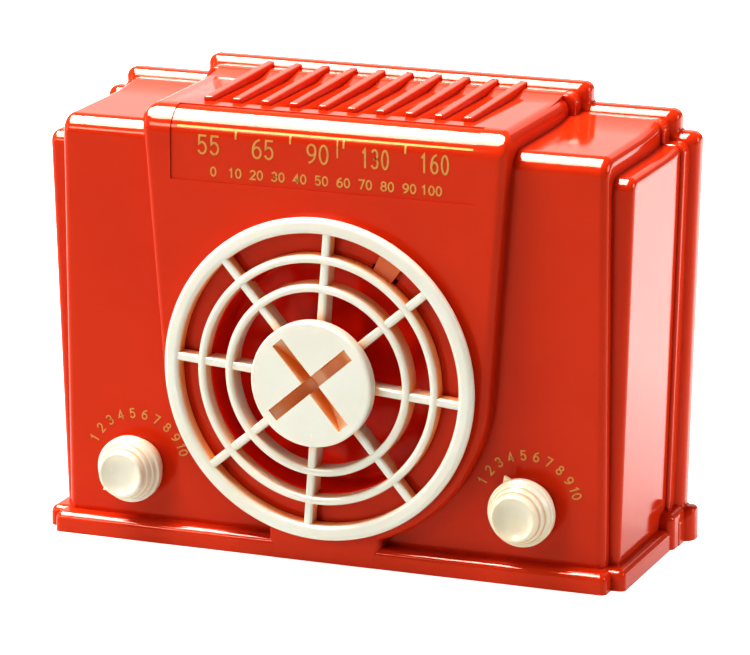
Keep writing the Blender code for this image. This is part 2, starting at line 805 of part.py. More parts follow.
def main():
    clear_scene()
    red = make_material("red_polystyrene", (0.62, 0.012, 0.006), 0.12, coat=0.4)
    cover_red = make_material("red_polystyrene_back", (0.60, 0.012, 0.006), 0.16, coat=0.3)
    ivory = make_material("ivory_polystyrene", (0.80, 0.68, 0.48), 0.22, coat=0.2)
    knob_ivory = make_material("ivory_polystyrene_knob", (0.82, 0.72, 0.52), 0.2, coat=0.2)
    steel = make_material("spring_steel", (0.35, 0.36, 0.38), 0.35, metallic=1.0)
    plated = make_material("plated_steel", (0.60, 0.60, 0.58), 0.3, metallic=1.0)
    cabinet(red)
    back_cover(cover_red)
    grille(ivory)
    plug_cup(red)
    for word, side, turn in (("volume", -1.0, 220.0), ("tone", 1.0, 117.0)):
        knob(f"{word}_knob", side, turn, knob_ivory)
        retainer(f"{word}_retainer", side, steel)
    for i, (side, z) in enumerate((s, h) for h in POST_HEIGHTS for s in (-1.0, 1.0)):
        screw(f"cover_screw_{i + 1}", side, z, plated)


main()
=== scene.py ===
"""A toy coin bank in the shape of a table radio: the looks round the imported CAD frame."""

import math

import bmesh
import bpy
from mathutils import Matrix, Vector


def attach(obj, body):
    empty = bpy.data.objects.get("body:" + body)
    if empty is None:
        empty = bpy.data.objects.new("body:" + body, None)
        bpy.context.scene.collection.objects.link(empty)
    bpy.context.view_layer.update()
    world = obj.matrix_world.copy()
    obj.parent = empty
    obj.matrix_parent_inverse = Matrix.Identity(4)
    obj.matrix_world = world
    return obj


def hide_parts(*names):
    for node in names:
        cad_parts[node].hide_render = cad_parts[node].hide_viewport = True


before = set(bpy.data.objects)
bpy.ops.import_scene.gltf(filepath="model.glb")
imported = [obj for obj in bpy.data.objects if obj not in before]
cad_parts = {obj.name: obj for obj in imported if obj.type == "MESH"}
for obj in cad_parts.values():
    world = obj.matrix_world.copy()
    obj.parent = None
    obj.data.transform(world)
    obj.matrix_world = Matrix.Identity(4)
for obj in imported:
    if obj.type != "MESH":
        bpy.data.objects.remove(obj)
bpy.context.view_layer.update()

MM = 0.001
DEPTH_SHIFT = -22.5

# Cabinet, in millimetres from the middle of the front face.
CENTRE_TOP = 104.4
CENTRE_HALF_WIDTH = 44.8
CENTRE_NARROWING = 0.073
CENTRE_TOP_RADIUS = 6.3
CENTRE_EDGE_RADIUS = 2.0
SHIELD_RADIUS = 40.3
STEM_HALF_WIDTH = 14.0
SHOULDER_TOP = 99.6
SHOULDER_HALF_WIDTH = 66.7
SHOULDER_FRONT = 4.4
SHOULDER_TOP_RADIUS = 4.3
SHOULDER_SIDE_RADIUS = 2.0
SHOULDER_RISE_FROM = 30.0
SHOULDER_RISE = 1.1
SIDE_TOP = 94.7
SIDE_HALF_WIDTH = 71.6
SIDE_NARROWING = 0.030
SIDE_FRONT = 7.9
SIDE_TOP_RADIUS = 3.0
SIDE_SIDE_RADIUS = 1.8
SIDE_RISE_FROM = 32.0
SIDE_RISE = 0.8
SIDE_RUN_OUTSIDE = 89.0
SIDE_RUN_INSIDE = 92.0
BLOCK_BACK = 47.0
BELOW_FLOOR = -4.0
SWEEP_START = 31.0
SWEEP_END = 43.0
SWEEP_STEPS = 14
LIP_HEIGHT = 4.8
LIP_FRONT = 0.08
LIP_HALF_WIDTH = 68.5
LIP_TOP_RADIUS = 1.8
LIP_SIDE_RADIUS = 1.4
SIDE_LIP_FRONT = 4.3
SIDE_LIP_HALF_WIDTH = 71.6
FOOT_FRONT = 37.4
FOOT_TOP = 8.5
FOOT_RADIUS = 1.9
BAND_FRONT = 41.4
BAND_BACK = 46.5
BAND_STANDS = 0.9
RIM_FRONT = 45.3
RIM_BACK = 52.3
RIM_STANDS = 2.8
RIM_RADIUS = 2.9
WALL = 2.4
COVER_LEDGE = 49.4
POST_RADIUS = 3.2
POST_X = 60.5
POST_HEIGHTS = (10.0, 87.5)
PILOT_RADIUS = 1.35
PILOT_DEPTH = 9.0
RIB_COUNT = 10
RIB_PITCH = 7.05
RIB_WIDTH = 2.2
RIB_FRONT = 9.6
DIAL_HALF_WIDTH = 37.2
DIAL_BOTTOM = 87.9
DIAL_DEPTH = 0.3

# Grille.
GRILLE_HEIGHT = 44.4
GRILLE_TURN = -4.2
GRILLE_FACE = -3.85
GRILLE_RADIUS = 38.0
OUTER_RING = (34.3, GRILLE_RADIUS)
OUTER_UNDERCUT = 1.7
MIDDLE_RING = (27.5, 29.5)
INNER_RING = (20.7, 22.7)
RING_BACK = -0.3
INNER_RING_BACK = 1.0
RING_SOFT = 0.9
SPOKE_COUNT = 8
SPOKE_HALF_WIDTH = 1.05
TAB_ANGLES = (54.0, 64.0)
HOLE_RADIUS = 29.0
COLLAR_RADIUS = 32.6
COLLAR_BACK = 13.0
LUG_ANGLES = (14.0, 194.0)
LUG_TRAVEL = 45.0
LUG_HALF_ANGLE = 6.0
LUG_PLAY = 1.0
LUG_ROOT = 28.2
LUG_REACH = 30.6
DISC_RADIUS = 14.7
DISC_FACE = -7.4
DISC_SOFT = 0.6
BOSS_RADIUS = 11.8
BOSS_BACK = 1.5
SLOT_LENGTH = 24.6
SLOT_WIDTH = 3.0
SLOT_DEPTH = 6.0
SLOT_FLOOR_RADIUS = 17.0

# Cup behind the grille.
CUP_RADIUS = 28.6
CUP_WALL = 1.2
CUP_BACK = 12.6
CUP_POST_RADIUS = 5.0
CUP_POST_FRONT = 1.8

# Knobs, back cover and screws. Each knob has its name, its side and its pointer's angle.
KNOBS = (("volume", -1.0, 220.0), ("tone", 1.0, 117.0))
KNOB_X = 48.5
KNOB_HEIGHT = 17.5
KNOB_RADIUS = 7.9
STEM_RADIUS = 2.0
COVER_BACK = 52.0
COIN_SLOT_LENGTH = 27.0
COIN_SLOT_WIDTH = 3.2
COIN_SLOT_HEIGHT = 78.0
CLEARANCE_RADIUS = 1.6
COUNTERBORE_RADIUS = 2.9
SCREW_RADIUS = 1.1
HEAD_RADIUS = 2.5
HEAD_HEIGHT = 0.8

# A depth behind the whole bank, where cutters that are open to the back end.
BEHIND = 60.0

# Printed numbers and lines.
DIAL_LINE = 100.35
DIAL_LINE_LEFT = -35.4
DIAL_LINE_RIGHT = 36.2
DIAL_TICKS = (-21.0, -7.6, 5.4, 20.3)
DIAL_TICK_LENGTH = 2.0
DIAL_MARK = 3.9
DIAL_MARK_BOTTOM = 96.0
DIAL_NUMBERS = (
    ("55", -30.3, -25.2),
    ("65", -16.8, -11.8),
    ("90", -3.4, 1.6),
    ("130", 9.8, 16.2),
    ("160", 24.0, 30.6),
)
DIAL_NUMBER_BASE = 94.3
DIAL_NUMBER_HEIGHT = 4.2
DIAL_NUMBER_GAP = 0.95
LOG_SCALE_LEFT = -26.6
LOG_SCALE_PITCH = 5.32
LOG_SCALE_BASE = 89.3
LOG_DIGIT_WIDTH = 1.25
LOG_DIGIT_HEIGHT = 2.0
LOG_DIGIT_GAP = 0.5
KNOB_SCALE_COUNT = 10
KNOB_SCALE_RADIUS = 12.2
KNOB_SCALE_START = 155.0
KNOB_SCALE_SWEEP = 133.0
KNOB_DIGIT_WIDTH = 1.2
KNOB_DIGIT_HEIGHT = 2.1
KNOB_DIGIT_GAP = 0.4
BROAD_STROKE = 0.24
FINE_STROKE = 0.17
PRINT_LIFT = 0.05
PRINT_STAGGER = 0.002
PRINT_ROOT = 0.03
LONGEST_DASH = 0.8
SHARPEST_MITRE = 0.45
STROKE_OVERRUN = 0.6

# Colours on screen, each as fresh, then drifted or aged, then worn edges for the reds or painted shade in
# deep recesses for the ivories.
CABINET_RED = ((192, 58, 24), (187, 54, 22), (206, 80, 44))
COVER_RED = ((186, 54, 24), (178, 50, 22), (202, 78, 44))
# The cup's red is painted brighter than the cabinet's: painted light on the cup deep behind the grille.
CUP_RED_PAINTED_LIGHT = ((242, 58, 20), (236, 52, 18), (244, 84, 40))
GRILLE_IVORY = ((216, 212, 200), (212, 206, 190), (246, 160, 60))
# The index tab is ivory too; its darker tan is painted shade and red bounced light under the rings.
TAB_PAINTED_SHADE = ((206, 112, 62), (200, 96, 48), (190, 70, 28))
KNOB_IVORY = ((216, 208, 190), (212, 198, 170), (232, 160, 88))
GOLD = (190, 146, 76)
GOLD_WORN = (176, 66, 28)

# Surfaces.
CABINET_GLOSS = 0.05
COVER_GLOSS = 0.14
CUP_GLOSS = 0.12
SCUFF = 0.07
STYRENE_IOR = 1.5
RED_SHEEN = (1.0, 0.50, 0.43, 1.0)
RED_SHEEN_LEVEL = 0.42
RED_RECESS = 0.004
PAINTED_SHADE_DARKNESS = 0.45
IVORY_RECESS = 0.007
IVORY_GLOW = 0.22
IVORY_REACH = 0.0035
IVORY_SCATTER = (1.0, 0.55, 0.22)
SPRING_STEEL = ((0.30, 0.31, 0.33, 1.0), (0.16, 0.15, 0.14, 1.0), 0.28)
PLATED_STEEL = ((0.62, 0.61, 0.57, 1.0), (0.42, 0.40, 0.36, 1.0), 0.22)
WELD = 0.000004

# Stage, in metres.
FLOOR_REACH = 6.0
PAPER_DARK = (0.27, 0.29, 0.29, 1.0)
PAPER_LIGHT = (0.29, 0.31, 0.31, 1.0)
PAPER_GLOW = (0.94, 1.0, 1.0, 1.0)
GLOW_FROM_TO = (-0.06, 0.16)
GLOW_LEVELS = (0.38, 1.7)
WORLD_COLOUR = (0.97, 1.0, 1.0, 1.0)
WORLD_STRENGTH = 0.20

# Each lamp's name, place, width, height, power and the direction of its height.
UPRIGHT = (0.0, 0.0, 1.0)
FRONT_TO_BACK = (0.0, 1.0, 0.0)
LAMP_TARGET = (0.0, 0.0, 0.05)
LAMPS = (
    ("softbox", (-0.36, -0.04, 1.0), 0.7, 0.6, 22.0, FRONT_TO_BACK),
    ("key", (-0.70, -1.35, 0.75), 0.30, 0.30, 4.2, UPRIGHT),
    ("left", (-1.20, -0.60, 0.40), 0.60, 0.60, 4.0, UPRIGHT),
    ("right", (1.10, 0.25, 0.45), 0.50, 0.50, 5.0, UPRIGHT),
    ("backdrop", (-0.40, 1.30, 0.48), 1.8, 0.9, 3.6, UPRIGHT),
)
SHINE_LAMP = ("shine", (-0.38, -0.13, 1.02), 0.5, 1.1, 58.0, FRONT_TO_BACK)

# Camera: the target in millimetres, the distance in metres, the angles in degrees.
CAMERA_TARGET = (13.0, -22.5, 57.4)
CAMERA_DISTANCE = 1.0636
CAMERA_AZIMUTH = 21.69
CAMERA_ELEVATION = 14.96
CAMERA_ROLL = -0.19
CAMERA_LENS = 225.5


def at(x, y, z):
    """A place given in millimetres from the middle of the front face, as a scene vector."""
    return Vector((x, y + DEPTH_SHIFT, z)) * MM


# ---------------------------------------------------------------- mesh helpers


def to_object(name, bm):
    bmesh.ops.recalc_face_normals(bm, faces=bm.faces)
    mesh = bpy.data.meshes.new(name)
    bm.to_mesh(mesh)
    bm.free()
    obj = bpy.data.objects.new(name, mesh)
    bpy.context.scene.collection.objects.link(obj)
    return obj


def stack(name, rings):
    """A solid through a row of rings of points, closed at both ends."""
    bm = bmesh.new()
    rows = [[bm.verts.new(at(*point)) for point in ring] for ring in rings]
    count = len(rows[0])
    bm.faces.new(rows[0])
    bm.faces.new(rows[-1][::-1])
    for near, far in zip(rows, rows[1:]):
        for i in range(count):
            j = (i + 1) % count
            bm.faces.new((near[i], far[i], far[j], near[j]))
    return to_object(name, bm)


def prism(name, front, back):
    return stack(name, [front, back])


def slab(name, low, high):
    x0, y0, z0 = low
    x1, y1, z1 = high
    front = [(x0, y0, z0), (x1, y0, z0), (x1, y0, z1), (x0, y0, z1)]
    return prism(name, front, [(x, y1, z) for x, _, z in front])


def lathe(name, profile, x, z, steps=128):
    """A solid turned about an axis along Y; the profile holds (radius, y) pairs."""
    bm = bmesh.new()
    rows = []
    for radius, y in profile:
        if radius == 0.0:
            rows.append([bm.verts.new(at(x, y, z))])
            continue
        turns = [2.0 * math.pi * i / steps for i in range(steps)]
        circle = [at(x + radius * math.cos(t), y, z + radius * math.sin(t)) for t in turns]
        rows.append([bm.verts.new(point) for point in circle])
    pairs = list(zip(rows, rows[1:]))
    if profile[0][0] != 0.0 or profile[-1][0] != 0.0:
        pairs.append((rows[-1], rows[0]))
    for near, far in pairs:
        for i in range(steps):
            j = (i + 1) % steps
            corners = [near[i % len(near)], near[j % len(near)], far[j % len(far)], far[i % len(far)]]
            bm.faces.new(list(dict.fromkeys(corners)))
    return to_object(name, bm)


def rod(name, radius, y0, y1, x, z, steps=64):
    return lathe(name, [(0.0, y0), (radius, y0), (radius, y1), (0.0, y1)], x, z, steps)


def bake(obj):
    """Replaces the object's mesh by the one its modifiers make."""
    bpy.context.view_layer.update()
    graph = bpy.context.evaluated_depsgraph_get()
    mesh = bpy.data.meshes.new_from_object(obj.evaluated_get(graph))
    obj.modifiers.clear()
    obj.data = mesh
    return obj


def round_edges(obj, radius_of, segments=9):
    """Rounds each edge by what radius_of(a, b) gives for its two ends, all in millimetres."""
    bm = bmesh.new()
    bm.from_mesh(obj.data)
    weight = bm.edges.layers.float.new("bevel_weight_edge")
    found = []
    for edge in bm.edges:
        ends = [vert.co / MM - Vector((0.0, DEPTH_SHIFT, 0.0)) for vert in edge.verts]
        found.append((edge, radius_of(*ends)))
    widest = max(radius for _, radius in found)
    for edge, radius in found:
        edge[weight] = radius / widest
    bm.to_mesh(obj.data)
    bm.free()
    modifier = obj.modifiers.new("round", "BEVEL")
    modifier.limit_method = "WEIGHT"
    modifier.width = widest * MM
    modifier.segments = segments
    modifier.use_clamp_overlap = False
    return bake(obj)


def combine(target, others, operation):
    """Joins the other solids to the target, or cuts them from it, and removes them."""
    group = bpy.data.collections.new("operands")
    for other in others:
        group.objects.link(other)
    modifier = target.modifiers.new("combine", "BOOLEAN")
    modifier.operation = operation
    modifier.solver = "EXACT"
    modifier.operand_type = "COLLECTION"
    modifier.collection = group
    bake(target)
    for other in others:
        bpy.data.objects.remove(other, do_unlink=True)
    bpy.data.collections.remove(group)


def arc(cx, cz, radius, start, end, steps):
    """Points of an arc from one angle to another, in degrees, counterclockwise seen from the front."""
    points = []
    for i in range(steps + 1):
        turn = math.radians(start + (end - start) * i / steps)
        points.append((cx + radius * math.cos(turn), cz + radius * math.sin(turn)))
    return points


def mirrored(half):
    """A whole outline from its right half, which runs upwards from the floor."""
    return half + [(-x, z) for x, z in reversed(half)]


def grown(outline, amount):
    """The outline with every side moved outwards by the amount."""
    count = len(outline)
    sides = []
    for i in range(count):
        ax, az = outline[i]
        bx, bz = outline[(i + 1) % count]
        length = math.hypot(bx - ax, bz - az)
        nx, nz = (bz - az) / length, (ax - bx) / length
        sides.append((nx, nz, nx * ax + nz * az + amount))
    corners = []
    for i in range(count):
        nx, nz, d = sides[i - 1]
        mx, mz, e = sides[i]
        cross = nx * mz - nz * mx
        corners.append(((d * mz - e * nz) / cross, (e * nx - d * mx) / cross))
    return corners


def softened(outline, outer, inner, steps=8):
    """The outline with its outer corners and its inner corners rounded by the two radii."""
    points = []
    count = len(outline)
    for i in range(count):
        corner = Vector(outline[i])
        before = Vector(outline[i - 1])
        after = Vector(outline[(i + 1) % count])
        back = (before - corner).normalized()
        ahead = (after - corner).normalized()
        turn = back.x * ahead.y - back.y * ahead.x
        room = 0.46 * min((before - corner).length, (after - corner).length)
        radius = max(0.35, min(outer if turn < 0.0 else inner, room))
        half = math.acos(max(-1.0, min(1.0, back.dot(ahead)))) / 2.0
        middle = corner + (back + ahead).normalized() * radius / math.sin(half)
        start = corner + back * radius / math.tan(half) - middle
        end = corner + ahead * radius / math.tan(half) - middle
        angle = start.angle_signed(end)
        for step in range(steps + 1):
            spoke = start.copy()
            spoke.rotate(Matrix.Rotation(-angle * step / steps, 2))
            points.append(tuple(middle + spoke))
    return points


def ring_at(outline, y):
    return [(x, y, z) for x, z in outline]


def dress(obj, name, material, body, node=None, sharp=30.0):
    """Names, shades and paints a finished piece, and ties it to its body."""
    obj.name = name
    obj.data.name = name
    bm = bmesh.new()
    bm.from_mesh(obj.data)
    bmesh.ops.remove_doubles(bm, verts=bm.verts, dist=WELD)
    bmesh.ops.dissolve_degenerate(bm, edges=bm.edges, dist=WELD)
    bm.to_mesh(obj.data)
    bm.free()
    obj.data.materials.clear()
    obj.data.materials.append(material)
    obj.data.shade_smooth()
    obj.data.set_sharp_from_angle(angle=math.radians(sharp))
    weighted = obj.modifiers.new("even_shading", "WEIGHTED_NORMAL")
    weighted.keep_sharp = True
    weighted.weight = 50
    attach(obj, body)
    if node:
        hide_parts(node)


# ---------------------------------------------------------------- materials


def srgb(screen):
    """A screen colour, three values from 0 to 255, as linear light."""
    parts = []
    for value in screen:
        value /= 255.0
        parts.append(value / 12.92 if value <= 0.04045 else ((value + 0.055) / 1.055) ** 2.4)
    return (*parts, 1.0)


class Nodes:
    """Short ways to add shader nodes to one material."""

    def __init__(self, name):
        self.material = bpy.data.materials.new(name)
        self.material.use_nodes = True
        self.tree = self.material.node_tree
        self.shader = self.tree.nodes["Principled BSDF"]
        coords = self.tree.nodes.new("ShaderNodeTexCoord")
        self.place = coords.outputs["Object"]

    def add(self, kind, **inputs):
        node = self.tree.nodes.new(kind)
        for key, value in inputs.items():
            socket = node.inputs[key.replace("_", " ")]
            if isinstance(value, bpy.types.NodeSocket):
                self.tree.links.new(value, socket)
            else:
                socket.default_value = value
        return node

    def noise(self, scale, detail=4.0, roughness=0.55, place=None):
        node = self.add("ShaderNodeTexNoise", Scale=scale, Detail=detail, Roughness=roughness)
        self.tree.links.new(place or self.place, node.inputs["Vector"])
        return node.outputs["Fac"]

    def stretched(self, scale):
        node = self.add("ShaderNodeMapping")
        self.tree.links.new(self.place, node.inputs["Vector"])
        node.inputs["Scale"].default_value = scale
        return node.outputs["Vector"]

    def spread(self, value, low, high, to_low, to_high):
        node = self.tree.nodes.new("ShaderNodeMapRange")
        self.tree.links.new(value, node.inputs["Value"])
        node.inputs["From Min"].default_value = low
        node.inputs["From Max"].default_value = high
        node.inputs["To Min"].default_value = to_low
        node.inputs["To Max"].default_value = to_high
        return node.outputs["Result"]

    def mix(self, factor, first, second):
        node = self.tree.nodes.new("ShaderNodeMix")
        node.data_type = "RGBA"
        self.tree.links.new(factor, node.inputs["Factor"])
        for value, index in ((first, 6), (second, 7)):
            if isinstance(value, bpy.types.NodeSocket):
                self.tree.links.new(value, node.inputs[index])
            else:
                node.inputs[index].default_value = value
        return node.outputs[2]

    def math(self, operation, first, second):
        node = self.tree.nodes.new("ShaderNodeMath")
        node.operation = operation
        for value, index in ((first, 0), (second, 1)):
            if isinstance(value, bpy.types.NodeSocket):
                self.tree.links.new(value, node.inputs[index])
            else:
                node.inputs[index].default_value = value
        return node.outputs[0]

    def recess(self, distance):
        """How open a point is: 1 in the open, 0 deep in a corner."""
        node = self.add("ShaderNodeAmbientOcclusion", Distance=distance)
        node.samples = 8
        return node.outputs["AO"]

    def edges(self):
        return self.tree.nodes.new("ShaderNodeNewGeometry").outputs["Pointiness"]

    def bump(self, height, strength, distance, below=None):
        node = self.add("ShaderNodeBump", Height=height, Strength=strength, Distance=distance)
        if below is not None:
            self.tree.links.new(below, node.inputs["Normal"])
        return node.outputs["Normal"]

    def send(self, value, name):
        self.tree.links.new(value, self.shader.inputs[name])

    def set(self, **values):
        for key, value in values.items():
            self.shader.inputs[key.replace("_", " ")].default_value = value


def red_plastic(name, colour, dark, worn, gloss, painted_shade_strength=0.35):
    """Glossy moulded polystyrene: slow colour drift, fine rubbing marks, a slightly wavy skin and painted
    shade that darkens its recesses.
    """
    mat = Nodes(name)
    drift = mat.spread(mat.noise(38.0, 3.0), 0.3, 0.7, 0.0, 1.0)
    base = mat.mix(drift, colour, dark)
    wear = mat.spread(mat.edges(), 0.52, 0.62, 0.0, 0.35)
    patch = mat.spread(mat.noise(140.0, 5.0), 0.45, 0.7, 0.0, 1.0)
    base = mat.mix(mat.math("MULTIPLY", wear, patch), base, worn)
    # Painted shade: the colour turns dark red in corners and recesses, where shade falls.
    shade = mat.spread(mat.recess(RED_RECESS), 0.0, 0.7, painted_shade_strength, 0.0)
    base = mat.mix(shade, base, tuple(part * PAINTED_SHADE_DARKNESS for part in dark[:3]) + (1.0,))
    mat.send(base, "Base Color")
    rubbed = mat.noise(900.0, 6.0, 0.7, mat.stretched((0.25, 1.0, 1.6)))
    smudge = mat.noise(55.0, 4.0)
    scuffs = mat.spread(rubbed, 0.45, 0.8, 0.0, SCUFF)
    smears = mat.spread(smudge, 0.3, 0.75, gloss, gloss + SCUFF)
    mat.send(mat.math("ADD", scuffs, smears), "Roughness")
    wave = mat.bump(mat.noise(26.0, 2.0), 0.10, 0.0012)
    fine = mat.bump(mat.noise(2600.0, 3.0), 0.05, 0.00004, wave)
    mat.send(fine, "Normal")
    mat.set(IOR=STYRENE_IOR, Specular_Tint=RED_SHEEN)
    mat.shader.inputs["Specular IOR Level"].default_value = RED_SHEEN_LEVEL
    return mat.material


def ivory_plastic(name, colour, aged, painted_shade_colour):
    """Ivory polystyrene that lets some light in, with painted orange shade in its recesses."""
    mat = Nodes(name)
    drift = mat.spread(mat.noise(60.0, 4.0), 0.35, 0.7, 0.0, 1.0)
    base = mat.mix(drift, colour, aged)
    # Painted shade: recesses turn a darker orange, standing in for shade and red light bounced into them.
    shade = mat.spread(mat.recess(IVORY_RECESS), 0.15, 0.85, 1.0, 0.0)
    base = mat.mix(shade, base, painted_shade_colour)
    mat.send(base, "Base Color")
    rough = mat.spread(mat.noise(420.0, 6.0, 0.65), 0.35, 0.75, 0.16, 0.30)
    mat.send(rough, "Roughness")
    wave = mat.bump(mat.noise(90.0, 2.0), 0.12, 0.0006)
    fine = mat.bump(mat.noise(2200.0, 3.0), 0.06, 0.00004, wave)
    mat.send(fine, "Normal")
    mat.set(IOR=STYRENE_IOR, Subsurface_Weight=IVORY_GLOW, Subsurface_Scale=IVORY_REACH)
    mat.shader.inputs["Subsurface Radius"].default_value = IVORY_SCATTER
    return mat.material


def gold_stamp(name):
    """Hot-stamped gold foil, a little thin and scuffed."""
    mat = Nodes(name)
    thin = mat.spread(mat.noise(1500.0, 5.0, 0.7), 0.50, 0.72, 0.0, 0.55)
    base = mat.mix(thin, srgb(GOLD), srgb(GOLD_WORN))
    mat.send(base, "Base Color")
    mat.send(mat.spread(mat.noise(900.0), 0.3, 0.7, 0.32, 0.5), "Roughness")
    mat.send(mat.bump(mat.noise(3000.0), 0.15, 0.00003), "Normal")
    mat.set(Metallic=0.35)
    return mat.material


def metal(name, colour, dull, rough):
    """Plain machined or rolled steel with a dull film."""
    mat = Nodes(name)
    film = mat.spread(mat.noise(500.0, 5.0, 0.6), 0.4, 0.7, 0.0, 1.0)
    mat.send(mat.mix(film, colour, dull), "Base Color")
    mat.send(mat.spread(mat.noise(1400.0, 4.0), 0.3, 0.7, rough, rough + 0.22), "Roughness")
    grain = mat.noise(2400.0, 4.0, 0.6, mat.stretched((1.0, 1.0, 4.0)))
    mat.send(mat.bump(grain, 0.12, 0.00004), "Normal")
    mat.set(Metallic=1.0)
    return mat.material


# ---------------------------------------------------------------- cabinet


def step_outline():
    """The stepped outline of the cabinet at the back, where all its blocks end."""
    return mirrored(
        [
            (SIDE_LIP_HALF_WIDTH, -9.0),
            (SIDE_LIP_HALF_WIDTH, LIP_HEIGHT + 0.4),
            (SIDE_HALF_WIDTH - SIDE_NARROWING * SIDE_RUN_OUTSIDE, LIP_HEIGHT + 0.4),
            (SIDE_HALF_WIDTH, SIDE_TOP),
            (SHOULDER_HALF_WIDTH, SIDE_TOP),
            (SHOULDER_HALF_WIDTH, SHOULDER_TOP),
            (CENTRE_HALF_WIDTH + 0.4, SHOULDER_TOP),
            (CENTRE_HALF_WIDTH + 0.4, CENTRE_TOP),
        ]
    )


def inside_outline():
    """The stepped outline of the inside."""
    low = SIDE_HALF_WIDTH - SIDE_NARROWING * SIDE_RUN_INSIDE
    return mirrored(
        [
            (low - WALL - 0.3, WALL),
            (SIDE_HALF_WIDTH - WALL - 0.3, SIDE_TOP - WALL),
            (SHOULDER_HALF_WIDTH - WALL, SIDE_TOP - WALL),
            (SHOULDER_HALF_WIDTH - WALL, SHOULDER_TOP - WALL),
            (CENTRE_HALF_WIDTH - WALL, SHOULDER_TOP - WALL),
            (CENTRE_HALF_WIDTH - WALL, CENTRE_TOP - WALL),
        ]
    )


def bead(name, stands, front, back, radius, steps=10):
    """A rounded band that follows the stepped outline."""
    rings = []
    for end, sign in ((front, 1.0), (back, -1.0)):
        part = []
        for step in range(steps + 1):
            turn = math.pi / 2.0 * step / steps
            inset = radius * (1.0 - math.sin(turn))
            y = end + sign * radius * (1.0 - math.cos(turn))
            outline = softened(grown(step_outline(), stands - inset), 3.0 - inset, 0.5 + inset)
            part.append(ring_at(outline, y))
        rings += part if sign > 0.0 else part[::-1]
    return stack(name, rings)


def centre_half_width(z):
    return CENTRE_HALF_WIDTH - CENTRE_NARROWING * (CENTRE_TOP - z)


def shield_outline(inset=0.0, stem=True):
    """Outline of the centre block: keystone sides, then a round end about the grille."""
    radius = SHIELD_RADIUS - inset
    top = CENTRE_TOP - inset
    join = GRILLE_HEIGHT - 1.5
    if stem:
        width = STEM_HALF_WIDTH - inset
        low = -math.degrees(math.acos(width / radius))
        half = [(width, -5.0)]
    else:
        low = -87.5
        half = []
    start = math.degrees(math.asin((join - GRILLE_HEIGHT) / radius))
    half += arc(0.0, GRILLE_HEIGHT, radius, low, start, 44)
    half += [(centre_half_width(60.0) - inset, 60.0), (centre_half_width(top) - inset, top)]
    return mirrored(half)


def centre_block():
    outline = shield_outline()
    block = prism("centre", ring_at(outline, 0.0), ring_at(outline, 48.0))

    def radius_of(a, b):
        front = a.y < 1.0 and b.y < 1.0
        if front and a.z > CENTRE_TOP - 1.0 and b.z > CENTRE_TOP - 1.0:
            return CENTRE_TOP_RADIUS
        if front and (a.z > 0.0 or b.z > 0.0):
            return CENTRE_EDGE_RADIUS
        if a.z > CENTRE_TOP - 1.0 and b.z > CENTRE_TOP - 1.0 and abs(a.x - b.x) < 1.0:
            return 3.0
        return 0.0

    return round_edges(block, radius_of)


def stepped_block(name, front, top, top_radius, half_width, narrowing, rise_from, rise, side_radius):
    """A block drawn from the side: rounded at the top front, sweeping up to the rim at the back."""
    section = [(front, BELOW_FLOOR)]
    section += arc(front + top_radius, top - top_radius, top_radius, 180.0, 90.0, 14)
    for step in range(SWEEP_STEPS + 1):
        way = step / SWEEP_STEPS
        section.append((rise_from + (SWEEP_END - rise_from) * way, top + rise * way * way))
    # The blocks end at slightly different depths, so that no two of their backs coincide.
    back = BLOCK_BACK + 0.01 * top
    section += [(back, top + rise), (back, BELOW_FLOOR)]
    right = [(half_width - narrowing * (top - z), y, z) for y, z in section]
    left = [(-x, y, z) for x, y, z in right]
    block = prism(name, left, right)

    def radius_of(a, b):
        side = abs(a.x) > 10.0 and a.x * b.x > 0.0
        hidden = (a.y > BLOCK_BACK and b.y > BLOCK_BACK) or (a.z < 0.0 and b.z < 0.0)
        return side_radius if side and not hidden else 0.0

    return round_edges(block, radius_of)


def lip(name, half_width, front, height):
    block = slab(name, (-half_width, front, -3.0), (half_width, 46.5 + 0.1 * front, height))

    def radius_of(a, b):
        if a.z > 1.0 and b.z > 1.0 and min(a.y, b.y) < 46.0:
            return LIP_TOP_RADIUS
        if a.y < front + 0.1 and b.y < front + 0.1 and abs(a.z - b.z) > 1.0:
            return LIP_SIDE_RADIUS
        return 0.0

    return round_edges(block, radius_of)


def foot_bump(side):
    inner, outer = sorted((side * 64.0, side * (SIDE_LIP_HALF_WIDTH + 0.7)))
    block = slab("bump", (inner, FOOT_FRONT, -2.0), (outer, 46.0, FOOT_TOP))
    near = FOOT_FRONT + 0.6
    high = FOOT_TOP - 0.5

    def radius_of(a, b):
        top = a.z > high and b.z > high
        front = a.y < near and b.y < near
        if abs(a.x) < 65.0 or abs(b.x) < 65.0:
            return FOOT_RADIUS if top and front else 0.0
        return FOOT_RADIUS if top or front else 0.0

    return round_edges(block, radius_of)


def top_sweep():
    """The hollow curve by which the centre block's top runs up to the rim."""
    section = [(SWEEP_START, 100.0)]
    for step in range(SWEEP_STEPS + 1):
        way = step / SWEEP_STEPS
        y = SWEEP_START + (SWEEP_END - SWEEP_START) * way
        section.append((y, CENTRE_TOP - 0.25 + 1.3 * way * way))
    section += [(47.2, CENTRE_TOP + 1.05), (47.2, 100.0)]
    half = CENTRE_HALF_WIDTH - 1.7
    return prism("sweep", [(-half, y, z) for y, z in section], [(half, y, z) for y, z in section])


def rib(i):
    """One of the ribs that rise from the centre block's top towards the rim."""
    x = (i - (RIB_COUNT - 1) / 2.0) * RIB_PITCH
    low = (RIB_FRONT, CENTRE_TOP + 1.2)
    high = (BLOCK_BACK, CENTRE_TOP + 2.2)
    section = [(RIB_FRONT, 103.0), low, high, (BLOCK_BACK, 103.0)]
    left = [(x - RIB_WIDTH / 2.0, y, z) for y, z in section]
    right = [(x + RIB_WIDTH / 2.0, y, z) for y, z in section]

    def radius_of(a, b):
        top = a.z > CENTRE_TOP and b.z > CENTRE_TOP
        return 0.45 if top else 0.3 if a.y < 10.0 and b.y < 10.0 else 0.0

    return round_edges(prism(f"rib_{i}", left, right), radius_of, 5)


